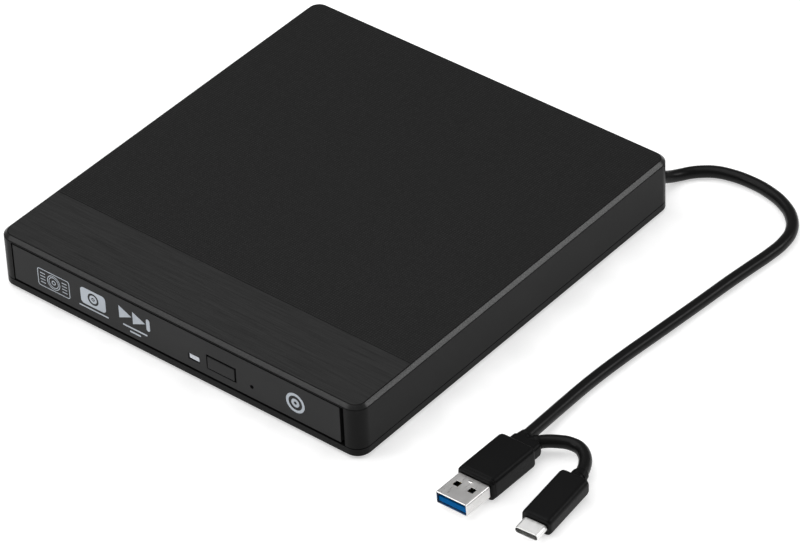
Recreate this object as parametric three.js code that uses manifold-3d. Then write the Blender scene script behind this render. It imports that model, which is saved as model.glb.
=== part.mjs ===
// External optical drive: a flat case with a slim tray-loading disc drive inside, and a captive lead
// that ends in a USB-A plug with a USB-C plug on a short branch.
// Millimetres. +X right, +Y to the rear, +Z up. The front bezel faces -Y. The origin is on the surface
// the drive stands on, under the middle of the case.
import * as THREE from "three";
import { RoundedBoxGeometry } from "three/addons/geometries/RoundedBoxGeometry.js";
import { mergeVertices } from "three/addons/utils/BufferGeometryUtils.js";
import Module from "manifold-3d";

const wasm = await Module();
wasm.setup();

// ---------------------------------------------------------------- driving dimensions
const gap = 0.3; // between pieces that are fixed to each other
const slideGap = 0.5; // between the tray and the chassis it slides in
const over = 1; // how far a cutting shape passes the face it cuts
const sink = 0.2; // how far shapes that are joined reach into each other

// Disc and the tray around it
const discDiameter = 120;
const discClearance = 0.8;
const smallDiscRadius = 40.5;
const smallDiscDepth = 0.4;
const traySideRim = 1.9;
const trayFrontRim = 2.0;
const trayRearRim = 2.7;
const recessDepth = 1.6;
const trayFloor = 1.0;
const trayWall = 1.5;
const mechanismHeight = 4.9;
const trayPlate = 0.5;
const trayCornerRadius = 2.5;

// Chassis of the inner drive
const steel = 0.7;
const discRoom = 3.0; // from the tray's upper face to the top plate
const underTray = 0.8;
const railWidth = 2.7;
const railWall = 0.8;
const railHeight = 4.4;
const lipThickness = 0.4;
const lipReach = 1.7;
const chassisSlideEnd = 0.7;

// Case
const caseWall = 1.8;
const caseRoof = 1.6;
const caseFloor = 1.6;
const caseCornerRadius = 5;
const caseCornerSegments = 10;
const topChamfer = 1.4;
const bottomChamfer = 0.8;
const sideRoom = 8.3;
const rearRoom = 25.3;
const underDrive = 2.0;
const overDrive = 2.1;
const footStand = 0.6;
const footRadius = 5;
const footHeight = 0.9;
const footInset = 14;
const lowerCoverWall = 1.6; // height of the lower cover's rim above its floor
const roofRibHalf = 0.6;
const standoffRadius = 3;
const standoffInset = 12;
const standoffMargin = 14;
const lugStandoffRadius = 2.6;
const boardPostRadius = 1.8;
const bossInset = 5.8;
const bossRadius = 2.6;
const frontBossInset = 9;
const rearBossInset = 21;
const caseScrewHead = 2.1;
const caseScrewShank = 1.1;
const caseScrewHeadDepth = 1.2;
const caseScrewReach = 5.5;

// Bezel and what is in it
const bezelRecess = 0.2;
const bezelThickness = 2.7;
const bezelCheek = 5.9;
const bezelTopBar = 1.7;
const bezelGap = 0.7;
const bezelRightGap = 1.7;
const buttonX = 18.8;
const buttonZ = 10.0;
const buttonWidth = 11.0;
const buttonHeight = 4.6;
const buttonGap = 0.5;
const buttonTravel = 0.6;
const buttonStemDepth = 1.6;
const ledX = 7.6;
const ledZ = 8.7;
const ledWidth = 4.0;
const ledHeight = 1.7;
const ledRecess = 0.25;
const releaseHoleX = 31.1;
const releaseHoleZ = 8.8;
const releaseHoleRadius = 0.7;

// Disc motor, pickup and what guides it
const pickupAngle = -Math.PI / 4; // the pickup runs from the hub towards the front left corner
const motorRadius = 12;
const motorHeight = 1.5;
const rotorRadius = 10.5;
const turntableRadius = 11.5;
const clampRadius = 7.3;
const padHeight = 0.4;
const pickupNearRadius = 24;
const pickupOuterMargin = 3;
const pickupFront = 3;
const pickupBack = 8.5;
const frameHalfWidth = 19.5;
const frameSide = 3.0;
const frameEnd = 3.0;
const frameChamfer = 3;
const rodRadius = 1.1;
const leftRodInset = 2.5; // from the inner side of the frame
const sledRightWall = 0.7; // beside the right rod
const sledToMotor = 0.4;
const sledMotorClearance = 0.2;
const screwRadius = 1.0;
const sledMotorLength = 10;
const lensRadius = 2.0;
const lensSlotHalf = 6;
const frameWindowHalf = 15;
const bushingRadius = 2.6;
const bushingPin = 1.0;

// Tray latch
const latchPostX = 44;
const latchPostBehindFront = 11.8;
const latchPostRadius = 1.4;
const latchArm = 11;
const latchPivotRadius = 1.0;

// Lead and plugs
const leadDiameter = 4.2;
const leadInset = 8.0;
const grommetNeck = 2.9;
const grommetOuter = 3.2;
const grommetReach = 3.5;
const grommetFlange = 1.6;
const grommetFlangeHalf = 3.9;
const usbaShell = { width: 12.0, height: 4.5, length: 11.0, wall: 0.35, middle: 4.5 };
const usbaGrip = { width: 13.8, height: 7.8, length: 20.6, radius: 1.5 };
const usbcShell = { width: 8.3, height: 2.5, length: 5.0, wall: 0.3, middle: 3.3 };
const usbcGrip = { width: 10.4, height: 6.3, length: 21.8, radius: 1.4 };
const usbaPlace = { x: 44.8, y: -160.0, yaw: -0.018, roll: -0.045 };
const usbcPlace = { x: 70.1, y: -156.15, yaw: 0.086, pitch: 0.03, roll: 0.033 };
const usbaCollar = { width: 10.6, height: 5.0, length: 4.2, x: 0.8 };
const usbaLeadX = -1.8;
const usbaBranchX = 1.8; // where the branch starts, at the rear of the collar
const branchTurn = 0.52; // the branch leaves the USB-A plug this far round from the lead, in radians

// Middle line of the lead, from the grommet to the USB-A plug. X and Y are measured from the point
// where the lead leaves the case, and Z from the surface below.
const leadRoute = [
  [0.0, 4.1, 5.4],
  [0.1, 5.4, 5.1],
  [0.5, 7.6, 4.0],
  [1.1, 10.0, 3.1],
  [2.2, 13.0, 2.4],
  [4.0, 16.0, 2.2],
  [6.4, 18.4, 2.2],
  [10.0, 20.9, 2.2],
  [14.8, 22.5, 2.2],
  [22.2, 23.3, 2.2],
  [30.8, 22.4, 2.2],
  [38.2, 19.8, 2.2],
  [43.7, 16.0, 2.2],
  [47.9, 10.1, 2.2],
  [49.4, 3.4, 2.2],
  [49.3, -3.5, 2.2],
  [48.3, -12.9, 2.2],
  [47.3, -22.3, 2.2],
  [46.1, -36.6, 2.2],
  [44.4, -55.3, 2.2],
  [42.7, -73.8, 2.2],
  [42.0, -88.0, 2.3],
  [42.4, -103.9, 2.9],
  [43.0, -112.1, 3.6],
  [43.7, -122.3, 4.4],
];

// Middle line of the branch, from the USB-A plug to the USB-C plug, measured in the same way
const branchRoute = [
  [47.9, -122.9, 4.6],
  [48.9, -121.3, 4.5],
  [50.4, -119.7, 4.4],
  [51.8, -118.6, 4.3],
  [53.3, -117.6, 4.2],
  [54.9, -116.8, 4.2],
  [56.7, -116.3, 4.1],
  [58.6, -116.2, 4.1],
  [60.5, -116.7, 4.1],
  [62.2, -117.7, 4.1],
  [63.7, -119.0, 4.1],
  [64.9, -120.5, 4.1],
  [65.8, -122.0, 4.1],
  [66.5, -123.5, 4.1],
  [67.0, -125.0, 4.1],
  [67.5, -126.8, 4.2],
];

// ---------------------------------------------------------------- sizes that follow
const recessRadius = discDiameter / 2 + discClearance;
const pickupFarRadius = discDiameter / 2 - pickupOuterMargin;
const rodFarY = -(pickupFarRadius + pickupFront + 1.6);
const frameFarY = rodFarY - gap - frameEnd;

// How far the corner of the pickup's frame reaches from the hub, to the side and to the front
const frameReach = (frameHalfWidth - frameChamfer - frameFarY) * Math.cos(pickupAngle);
const skirtInset = railWidth + (slideGap - gap) / 2;
const trayHalf = Math.max(recessRadius + traySideRim, frameReach + gap + trayWall + skirtInset);
const hubFromFront = Math.max(recessRadius + trayFrontRim, frameReach + gap + trayWall);
const chassisInner = trayHalf + slideGap;
const chassisHalf = chassisInner + steel;
const caseHalf = chassisHalf + sideRoom + caseWall;

const trayLength = hubFromFront + recessRadius + trayRearRim;
const trayFromFront = bezelRecess + bezelThickness + gap;
const caseDepth = trayFromFront + trayLength + chassisSlideEnd + steel + rearRoom + caseWall;
const frontY = -caseDepth / 2;
const rearY = caseDepth / 2;
const trayFrontY = frontY + trayFromFront;
const trayRearY = trayFrontY + trayLength;
const hubY = trayFrontY + hubFromFront;
const chassisFrontY = trayFrontY + gap;
const chassisRearY = trayRearY + chassisSlideEnd + steel;

const caseBottomZ = footStand;
const floorTopZ = caseBottomZ + caseFloor;
const driveZ = floorTopZ + underDrive;
const lowerRimZ = floorTopZ + lowerCoverWall;
const upperRimZ = lowerRimZ + gap;
const chassisFloorZ = driveZ + steel;
const trayZ = chassisFloorZ + underTray;
const platformZ = trayZ + mechanismHeight;
const recessZ = platformZ + trayFloor;
const smallRecessZ = recessZ - smallDiscDepth;
const trayTopZ = recessZ + recessDepth;
const topPlateZ = trayTopZ + discRoom;
const driveTopZ = topPlateZ + steel;
const roofZ = driveTopZ + overDrive;
const caseTopZ = roofZ + caseRoof;
const mechanismZ = trayZ + trayPlate + gap;
const mechanismTopZ = platformZ - gap;
const mechanismMidZ = (mechanismZ + mechanismTopZ) / 2;

const skirtHalf = trayHalf - skirtInset;
const railInner = skirtHalf + gap;
const railZ = chassisFloorZ + gap;
const lipZ = railZ + railHeight + gap;
const openingTopZ = caseTopZ - bezelTopBar;
const openingHalf = caseHalf - bezelCheek;

const frameInner = frameHalfWidth - frameSide;
const leftRodX = leftRodInset - frameInner;
const sledMotorRadius = (mechanismTopZ - mechanismZ) / 2 - 0.1;
const screwX = frameInner - sledMotorRadius - sledMotorClearance;
const rightRodX = screwX - sledMotorRadius - sledToMotor - sledRightWall - rodRadius;
const pickupStartY = -pickupNearRadius;
const rodNearY = -(motorRadius + gap);
const latchPostY = trayFrontY + latchPostBehindFront;
const latchPivotX = latchPostX - 6;
const latchPivotY = latchPostY + 3 + latchArm;
const leadX = caseHalf - leadInset;
const leadExitHeight = leadRoute[0][2];

// ---------------------------------------------------------------- materials
function finish(color, roughness, metalness) {
  return new THREE.MeshStandardMaterial({ color, roughness, metalness });
}

const blackPlastic = finish(0x1d1d1e, 0.45, 0.0);
const bezelPlastic = finish(0x202021, 0.35, 0.0);
const trayPlastic = finish(0x151516, 0.55, 0.0);
const clearPlastic = finish(0xd8dce4, 0.25, 0.0);
const rubber = finish(0x121212, 0.8, 0.0);
const leadJacket = finish(0x101010, 0.5, 0.0);
const steelSheet = finish(0x8d9094, 0.4, 0.9);
const darkSteel = finish(0x3c3d40, 0.5, 0.8);
const polishedSteel = finish(0xc8cacc, 0.2, 1.0);
const boardGreen = finish(0x12402a, 0.5, 0.0);
const chipBlack = finish(0x0c0c0d, 0.5, 0.0);
const tongueBlue = finish(0x1378c8, 0.45, 0.0);
const ribbonAmber = finish(0x9a5a1c, 0.4, 0.0);
const lensGlass = finish(0x6f88b8, 0.05, 0.0);

// ---------------------------------------------------------------- solid helpers
function toSolid(geometry) {
  const loose = geometry.index ? geometry.toNonIndexed() : geometry;
  const bare = new THREE.BufferGeometry();
  bare.setAttribute("position", loose.getAttribute("position"));
  const merged = mergeVertices(bare, 1e-4);
  const vertProperties = merged.attributes.position.array;
  const triVerts = new Uint32Array(merged.index.array);
  return new wasm.Manifold(new wasm.Mesh({ numProp: 3, vertProperties, triVerts }));
}

function toGeometry(solid) {
  const mesh = solid.getMesh();
  const geometry = new THREE.BufferGeometry();
  geometry.setAttribute("position", new THREE.BufferAttribute(mesh.vertProperties, 3));
  geometry.setIndex(new THREE.BufferAttribute(mesh.triVerts, 1));
  geometry.computeVertexNormals();
  return geometry;
}

function join(first, ...others) {
  return toGeometry(others.reduce((sum, other) => sum.add(toSolid(other)), toSolid(first)));
}

function cut(first, ...tools) {
  return toGeometry(tools.reduce((rest, tool) => rest.subtract(toSolid(tool)), toSolid(first)));
}

function block(x0, x1, y0, y1, z0, z1) {
  const box = new THREE.BoxGeometry(x1 - x0, y1 - y0, z1 - z0);
  return box.translate((x0 + x1) / 2, (y0 + y1) / 2, (z0 + z1) / 2);
}

// Cylinder that stands along Z
function post(radius, z0, z1, x = 0, y = 0, sides = 24) {
  const round = new THREE.CylinderGeometry(radius, radius, z1 - z0, sides);
  return round.rotateX(Math.PI / 2).translate(x, y, (z0 + z1) / 2);
}

// Cylinder or cone that lies along Y
function bar(radius0, radius1, y0, y1, x = 0, z = 0, sides = 20) {
  const round = new THREE.CylinderGeometry(radius1, radius0, y1 - y0, sides);
  return round.translate(x, (y0 + y1) / 2, z);
}

function roundedOutline(x0, x1, y0, y1, radius) {
  const outline = new THREE.Shape();
  outline.absarc(x1 - radius, y0 + radius, radius, -Math.PI / 2, 0);
  outline.absarc(x1 - radius, y1 - radius, radius, 0, Math.PI / 2);
  outline.absarc(x0 + radius, y1 - radius, radius, Math.PI / 2, Math.PI);
  outline.absarc(x0 + radius, y0 + radius, radius, Math.PI, Math.PI * 1.5);
  outline.closePath();
  return outline;
}

function prism(outline, z0, z1, curveSegments = 4) {
  const options = { depth: z1 - z0, bevelEnabled: false, curveSegments };
  return new THREE.ExtrudeGeometry(outline, options).translate(0, 0, z0);
}

// Prism whose two end edges are chamfered
function chamferedPrism(outline, z0, z1, chamfer, curveSegments = 4) {
  const options = {
    depth: z1 - z0 - 2 * chamfer,
    bevelEnabled: true,
    bevelThickness: chamfer,
    bevelSize: chamfer,
    bevelOffset: -chamfer,
    bevelSegments: 1,
    curveSegments,
  };
  return new THREE.ExtrudeGeometry(outline, options).translate(0, 0, z0 + chamfer);
}

// Round tube along a route of points
function tube(route, diameter, sides) {
  const points = route.map((point) => new THREE.Vector3(...point));
  const curve = new THREE.CatmullRomCurve3(points, false, "centripetal");
  const section = new THREE.Shape();
  for (let i = 0; i < sides; i++) {
    const angle = (2 * Math.PI * i) / sides;
    const x = (diameter / 2) * Math.cos(angle);
    const y = (diameter / 2) * Math.sin(angle);
    if (i === 0) section.moveTo(x, y);
    else section.lineTo(x, y);
  }
  section.closePath();
  const steps = Math.max(6, Math.round(curve.getLength() / (2.2 * diameter)));
  return new THREE.ExtrudeGeometry(section, { steps, extrudePath: curve });
}

// Rounded box that lies along Y from y0 to y1
function grip(width, height, y0, y1, radius) {
  const box = new RoundedBoxGeometry(width, y1 - y0, height, 2, radius);
  return box.translate(0, (y0 + y1) / 2, 0);
}

function add(parent, name, geometry, material) {
  const mesh = new THREE.Mesh(geometry, material);
  mesh.name = name;
  parent.add(mesh);
  return mesh;
}

function caseOutline(inset) {
  const radius = caseCornerRadius - inset;
  return roundedOutline(-caseHalf + inset, caseHalf - inset, frontY + inset, rearY - inset, radius);
}

// The four places of the case screws
function bossPlaces() {
  const x = caseHalf - bossInset;
  const front = frontY + frontBossInset;
  const rear = rearY - rearBossInset;
  return [
    { name: "front_left", x: -x, y: front },
    { name: "front_right", x, y: front },
    { name: "rear_left", x: -x, y: rear },
    { name: "rear_right", x, y: rear },
  ];
}

function footPlaces() {
  const x = caseHalf - footInset;
  const y = rearY - footInset;
  return [
    { name: "front_left", x: -x, y: -y },
    { name: "front_right", x, y: -y },
    { name: "rear_left", x: -x, y },
    { name: "rear_right", x, y },
  ];
}

const model = new THREE.Group();

// ---------------------------------------------------------------- case
function topCover() {
  const underRimZ = upperRimZ - topChamfer * 2;
  const outer = chamferedPrism(caseOutline(0), underRimZ, caseTopZ, topChamfer, caseCornerSegments);
  const below = block(-caseHalf, caseHalf, frontY, rearY, underRimZ - over, upperRimZ);
  const hollow = prism(caseOutline(caseWall), upperRimZ - over, roofZ, caseCornerSegments);
  const mouth = block(-openingHalf, openingHalf, frontY - over, frontY + caseWall + over, 0, openingTopZ);
  const notchY0 = rearY - caseWall - over;
  const notchY1 = rearY + over;
  const notchTop = bar(grommetOuter, grommetOuter, notchY0, notchY1, leadX, leadExitHeight);
  const notchLeft = leadX - grommetOuter;
  const notchRight = leadX + grommetOuter;
  const notch = block(notchLeft, notchRight, notchY0, notchY1, 0, leadExitHeight);
  const shell = cut(outer, below, hollow, mouth, notchTop, notch);
  const bosses = bossPlaces().map((p) => post(bossRadius, upperRimZ, roofZ + sink, p.x, p.y, 16));
  const holeTopZ = upperRimZ + caseScrewReach + gap;
  const holes = bossPlaces().map((p) => post(caseScrewShank + gap, 0, holeTopZ, p.x, p.y, 16));
  const ribX = chassisHalf * 0.6;
  const ribY0 = chassisFrontY + standoffMargin;
  const ribY1 = chassisRearY - standoffMargin;
  const ribs = [-ribX, 0, ribX].map((x) =>
    block(x - roofRibHalf, x + roofRibHalf, ribY0, ribY1, driveTopZ + gap, roofZ + sink),
  );
  return cut(join(shell, ...bosses, ...ribs), ...holes);
}

// Posts that stand on the floor of the case and carry the inner drive and the bridge board
function floorPosts() {
  const z0 = floorTopZ - sink;
  const z1 = driveZ - gap;
  const x = chassisHalf - standoffInset;
  const front = chassisFrontY + standoffMargin;
  const rear = chassisRearY - standoffMargin;
  const corners = [[-x, front], [x, front], [-x, rear], [x, rear]];
  return [
    ...corners.map(([px, py]) => post(standoffRadius, z0, z1, px, py, 16)),
    ...[-lugX, lugX].map((px) => post(lugStandoffRadius, z0, z1, px, lugY, 16)),
    ...bridgeCorners().map((p) => post(boardPostRadius, z0, bridgeZ - gap, p.x, p.y, 12)),
  ];
}

function bottomCover() {
  const overRimZ = lowerRimZ + bottomChamfer * 2;
  const outer = chamferedPrism(caseOutline(0), caseBottomZ, overRimZ, bottomChamfer, caseCornerSegments);
  const above = block(-caseHalf, caseHalf, frontY, rearY, lowerRimZ, overRimZ + over);
  const hollow = prism(caseOutline(caseWall), floorTopZ, lowerRimZ + over, caseCornerSegments);
  const notchLeft = leadX - grommetOuter;
  const notchRight = leadX + grommetOuter;
  const notchY0 = rearY - caseWall - over;
  const notch = block(notchLeft, notchRight, notchY0, rearY + over, floorTopZ, lowerRimZ);
  const dish = cut(outer, above, hollow, notch);
  const bosses = bossPlaces().map((p) =>
    post(bossRadius + 0.4, floorTopZ - sink, lowerRimZ, p.x, p.y, 16),
  );
  const pockets = footPlaces().map((p) =>
    post(footRadius + gap, caseBottomZ - over, footHeight + gap, p.x, p.y, 32),
  );
  const headTopZ = caseBottomZ + caseScrewHeadDepth + gap;
  const holes = bossPlaces().flatMap((p) => [
    post(caseScrewHead + gap, 0, headTopZ, p.x, p.y, 16),
    post(caseScrewShank + gap, 0, lowerRimZ + over, p.x, p.y, 16),
  ]);
  const lugHoleZ = floorTopZ + sink;
  const lugHoles = [-lugX, lugX].map((x) => post(lugScrew.shank + gap, lugHoleZ, driveZ, x, lugY, 12));
  return cut(join(dish, ...bosses, ...floorPosts()), ...pockets, ...holes, ...lugHoles);
}

// Pan head screw with a cross recess; its head is at the bottom and z0 is the head's lower face
function screw(headRadius, headHeight, shankRadius, length) {
  const profile = [
    [0, 0],
    [headRadius * 0.8, 0],
    [headRadius, headHeight * 0.35],
    [headRadius, headHeight],
    [shankRadius, headHeight],
    [shankRadius, length - shankRadius],
    [shankRadius * 0.4, length],
    [0, length],
  ].map(([r, z]) => new THREE.Vector2(r, z));
  const body = new THREE.LatheGeometry(profile, 16).rotateX(Math.PI / 2);
  const arm = headRadius * 0.55;
  const slot = 0.22;
  const deep = headHeight * 0.5;
  return cut(body, block(-arm, arm, -slot, slot, -1, deep), block(-slot, slot, -arm, arm, -1, deep));
}

// The inner drive is screwed to the floor by two lugs at its rear
const lugX = chassisHalf - 7;
const lugY = chassisRearY + 4.5;
const lugRadius = 3.2;
const lugScrew = { head: 1.9, headHeight: 0.8, shank: 0.9, length: 2.4 };

const bridgeZ = floorTopZ + 4.2;
const bridge = {
  x0: -chassisHalf + 2,
  x1: -chassisHalf + 56,
  y0: chassisRearY + 3.2,
  y1: chassisRearY + 23,
  thickness: 1.2,
};

function bridgeCorners() {
  const inset = 3;
  return [bridge.x0 + inset, bridge.x1 - inset].map((x) => ({ x, y: bridge.y1 - inset }));
}

add(model, "top_cover", topCover(), blackPlastic);
add(model, "bottom_cover", bottomCover(), blackPlastic);

for (const place of footPlaces()) {
  const foot = add(model, "foot_" + place.name, post(footRadius, 0, footHeight, 0, 0, 32), rubber);
  foot.position.set(place.x, place.y, 0);
}

const caseScrewLength = lowerRimZ - caseBottomZ + caseScrewReach;
for (const place of bossPlaces()) {
  const geometry = screw(caseScrewHead, caseScrewHeadDepth, caseScrewShank, caseScrewLength);
  const fastener = add(model, "case_screw_" + place.name, geometry, darkSteel);
  fastener.position.set(place.x, place.y, caseBottomZ + 0.1);
}

// ---------------------------------------------------------------- inner drive, fixed pieces
const connectorX = -chassisHalf + 14;
const connectorHalf = 8.5;
const cornerX = -chassisHalf + 20; // the tray's rear left corner is cut away beyond this
const cornerY = trayRearY - 14.5;

function driveChassis() {
  const floor = block(-chassisHalf, chassisHalf, chassisFrontY, chassisRearY, driveZ, chassisFloorZ);
  const wallTopZ = topPlateZ - gap;
  const sides = [-1, 1].map((side) => {
    const outer = side * chassisHalf;
    const inner = side * chassisInner;
    const x0 = Math.min(outer, inner);
    const x1 = Math.max(outer, inner);
    return block(x0, x1, chassisFrontY, chassisRearY, driveZ, wallTopZ);
  });
  const lips = [-1, 1].map((side) => {
    const outer = side * (chassisInner + 0.1);
    const inner = side * (chassisInner - lipReach);
    const x0 = Math.min(outer, inner);
    const x1 = Math.max(outer, inner);
    return block(x0, x1, chassisFrontY + 4, chassisRearY, lipZ, lipZ + lipThickness);
  });
  const rear = block(-chassisHalf, chassisHalf, chassisRearY - steel, chassisRearY, driveZ, wallTopZ);
  const connectorX0 = connectorX - connectorHalf - gap;
  const connectorX1 = connectorX + connectorHalf + gap;
  const portTopZ = trayZ + 4.2 + gap;
  const portY0 = chassisRearY - steel - over;
  const port = block(connectorX0, connectorX1, portY0, chassisRearY + over, trayZ - gap, portTopZ);
  const lugs = [-lugX, lugX].flatMap((x) => [
    post(lugRadius, driveZ, chassisFloorZ, x, lugY, 20),
    block(x - lugRadius, x + lugRadius, chassisRearY - sink, lugY, driveZ, chassisFloorZ),
  ]);
  const lugHoles = [-lugX, lugX].map((x) =>
    post(lugScrew.shank + gap, driveZ - over, chassisFloorZ + over, x, lugY, 12),
  );
  return cut(join(floor, ...sides, ...lips, rear, ...lugs), port, ...lugHoles);
}

function driveTopPlate() {
  const plate = block(-chassisHalf, chassisHalf, chassisFrontY, chassisRearY, topPlateZ, driveTopZ);
  const slots = [-1, 1].map((side) => {
    const x = side * (chassisHalf - 6);
    return block(x - 1, x + 1, hubY - 20, hubY + 20, topPlateZ - over, driveTopZ + over);
  });
  return cut(plate, ...slots);
}

add(model, "drive_chassis", driveChassis(), steelSheet);
add(model, "drive_top_plate", driveTopPlate(), steelSheet);

function connectorBoard() {
  const y1 = chassisRearY - steel - gap;
  return block(connectorX - 9.4, connectorX + 5.4, cornerY + 1.5, y1, trayZ - gap, trayZ + 0.5);
}

function drivePlug() {
  const z0 = trayZ + 0.5 + gap;
  const y0 = chassisRearY - 6;
  const y1 = chassisRearY + 1.4;
  const body = block(connectorX - connectorHalf, connectorX + 4.8, y0, y1, z0, z0 + 3);
  const slot = block(connectorX - connectorHalf + 1.2, connectorX + 3.6, y1 - 3, y1 + 1, z0 + 1, z0 + 2.1);
  return cut(body, slot);
}

add(model, "connector_board", connectorBoard(), boardGreen);
add(model, "drive_sata_plug", drivePlug(), chipBlack);

const ribbonThickness = 0.15;
const ribbon = block(
  connectorX + 6, connectorX + 24, hubY + 10, chassisRearY - steel - 2,
  chassisFloorZ + 0.25, chassisFloorZ + 0.25 + ribbonThickness,
);
add(model, "flex_ribbon", ribbon, ribbonAmber);

const postTopZ = mechanismTopZ - 1.2;
const latchPost = post(latchPostRadius, chassisFloorZ + gap, postTopZ, latchPostX, latchPostY, 16);
add(model, "latch_post", latchPost, polishedSteel);

[-1, 1].forEach((side) => {
  const geometry = screw(lugScrew.head, lugScrew.headHeight, lugScrew.shank, lugScrew.length);
  const name = side < 0 ? "drive_screw_left" : "drive_screw_right";
  const fastener = add(model, name, geometry, darkSteel);
  fastener.rotation.x = Math.PI;
  fastener.position.set(side * lugX, lugY, chassisFloorZ + gap + lugScrew.headHeight);
});

// ---------------------------------------------------------------- bridge board behind the drive
function bridgeBoard() {
  const board = block(bridge.x0, bridge.x1, bridge.y0, bridge.y1, bridgeZ, bridgeZ + bridge.thickness);
  const holes = bridgeCorners().map((p) => post(1, bridgeZ - 1, bridgeZ + 3, p.x, p.y, 12));
  return cut(board, ...holes);
}

const bridgeTopZ = bridgeZ + bridge.thickness + gap;
const bridgeMidY = (bridge.y0 + bridge.y1) / 2;
const socketBlock = block(
  connectorX - connectorHalf, connectorX + 4.8,
  chassisRearY + 1.4 + gap, chassisRearY + 9, bridgeTopZ, bridgeTopZ + 3.4,
);
const chipBlock = block(-28, -20, bridgeMidY - 4, bridgeMidY + 4, bridgeTopZ, bridgeTopZ + 1.1);
add(model, "bridge_board", bridgeBoard(), boardGreen);
add(model, "bridge_sata_socket", socketBlock, chipBlack);
add(model, "bridge_chip", chipBlock, chipBlack);

// The lead inside the case, from the grommet round the corner and along to the bridge board
function innerRoute() {
  const startY = rearY - caseWall - grommetFlange - 2 * gap;
  const bend = [[0, 0, 0], [-0.6, -3.8, 0.1], [-3.4, -7.6, 0.4], [-8, -9.7, 0.8], [-16, -10, 1.2]];
  const points = bend.map(([x, y, z]) => [leadX + x, startY + y, leadExitHeight + z]);
  const [bendX, runY, bendZ] = points[points.length - 1];
  const endX = bridge.x1 + 0.4;
  const endZ = bridgeZ + 1.6;
  for (const part of [0.25, 0.5, 0.75, 1]) {
    points.push([bendX + (endX - bendX) * part, runY, bendZ + (endZ - bendZ) * part]);
  }
  return points;
}

add(model, "inner_lead", tube(innerRoute(), leadDiameter, 10), leadJacket);

// ---------------------------------------------------------------- slide rails
[-1, 1].forEach((side) => {
  const x0 = railInner;
  const x1 = railInner + railWidth - gap;
  const y0 = trayFrontY + 1.8;
  const y1 = trayRearY - 4.5;
  const bar0 = block(x0, x1, y0, y1, railZ, railZ + railHeight);
  const channelTopZ = railZ + railHeight - railWall;
  const channel = block(x0 - over, x1 - railWall, y0 - over, y1 + over, railZ + railWall, channelTopZ);
  const rail = cut(bar0, channel);
  if (side < 0) rail.rotateZ(Math.PI).translate(0, y0 + y1, 0);
  add(model, side < 0 ? "slide_rail_left" : "slide_rail_right", rail, polishedSteel);
});

// ---------------------------------------------------------------- tray and what is fixed to it
const mechanism = new THREE.Group();
mechanism.position.set(0, hubY, 0);
mechanism.rotation.z = pickupAngle;
model.add(mechanism);

// Puts a shape drawn around the hub, with the pickup running to -Y, where it lies in the tray
function turned(geometry) {
  return geometry.rotateZ(pickupAngle).translate(0, hubY, 0);
}

const bushings = [
  { x: -frameHalfWidth - bushingRadius - gap, y: -pickupFarRadius + 7 },
  { x: frameHalfWidth + bushingRadius + gap, y: -pickupFarRadius + 12 },
  { x: 0, y: frameHalfWidth + bushingRadius + gap },
];

// Outline of the window over the pickup, grown by a margin
function windowOutline(margin) {
  const half = frameWindowHalf + margin;
  const reach = recessRadius - 1 + margin;
  const side = Math.asin(half / reach);
  const near = rotorRadius + 4.5 + margin;
  const nearSide = Math.acos(Math.min(1, half / near));
  const outline = new THREE.Shape();
  outline.absarc(0, 0, reach, -Math.PI / 2 - side, -Math.PI / 2 + side);
  outline.absarc(0, 0, near, nearSide, Math.PI - nearSide);
  outline.closePath();
  return outline;
}

function discTray() {
  const outline = roundedOutline(-trayHalf, trayHalf, trayFrontY, trayRearY, trayCornerRadius);
  const platform = prism(outline, platformZ, trayTopZ, 2);
  const skirtZ = platformZ + sink;
  const y0 = trayFrontY;
  const y1 = trayRearY;
  const rightEnd = latchPostX - 8;
  const leftEnd = cornerX + 1;
  const walls = [
    block(-skirtHalf, skirtHalf, y0, y0 + trayWall, trayZ, skirtZ),
    block(-skirtHalf, -skirtHalf + trayWall, y0, cornerY, trayZ, skirtZ),
    block(skirtHalf - trayWall, skirtHalf, y0, y1, trayZ, skirtZ),
    block(leftEnd, rightEnd, y1 - trayWall, y1, trayZ, skirtZ),
  ];
  const ribZ0 = railZ + railWall + gap;
  const ribZ1 = railZ + railHeight - railWall - gap;
  const ribX = railInner + railWidth - gap - railWall - gap;
  const ribs = [
    block(-ribX, -skirtHalf + sink, y0 + 1, cornerY, ribZ0, ribZ1),
    block(skirtHalf - sink, ribX, y0 + 1, y1, ribZ0, ribZ1),
  ];
  const pins = bushings.map((p) => turned(post(bushingPin, mechanismZ + 0.4, skirtZ, p.x, p.y, 12)));
  const whole = join(platform, ...walls, ...ribs, ...pins);
  const recess = post(recessRadius, recessZ, trayTopZ + over, 0, hubY, 96);
  const smallRecess = post(smallDiscRadius, smallRecessZ, trayTopZ + over, 0, hubY, 64);
  const window = turned(prism(windowOutline(gap), platformZ - 0.05, trayTopZ + over, 12));
  const corner = block(-trayHalf - over, cornerX, cornerY, y1 + over, trayZ - over, trayTopZ + over);
  const pocketY1 = y0 + trayWall + 0.5;
  const buttonPocketHalf = buttonWidth / 2 + 1;
  const pockets = [
    [buttonX, buttonPocketHalf],
    [ledX, ledWidth / 2 + 0.9],
  ].map(([x, half]) => block(x - half, x + half, y0 - over, pocketY1, mechanismZ, platformZ));
  const pinHole = bar(1, 1, y0 - over, y0 + trayWall + over, releaseHoleX, releaseHoleZ, 12);
  return cut(whole, recess, smallRecess, window, corner, ...pockets, pinHole);
}

const bezelY0 = frontY + bezelRecess;
const bezelY1 = bezelY0 + bezelThickness;

// Cuts a rectangular hole through the bezel
function bezelHole(x, z, width, height, clearance) {
  const half = width / 2 + clearance;
  const rise = height / 2 + clearance;
  return block(x - half, x + half, bezelY0 - over, bezelY1 + over, z - rise, z + rise);
}

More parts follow.
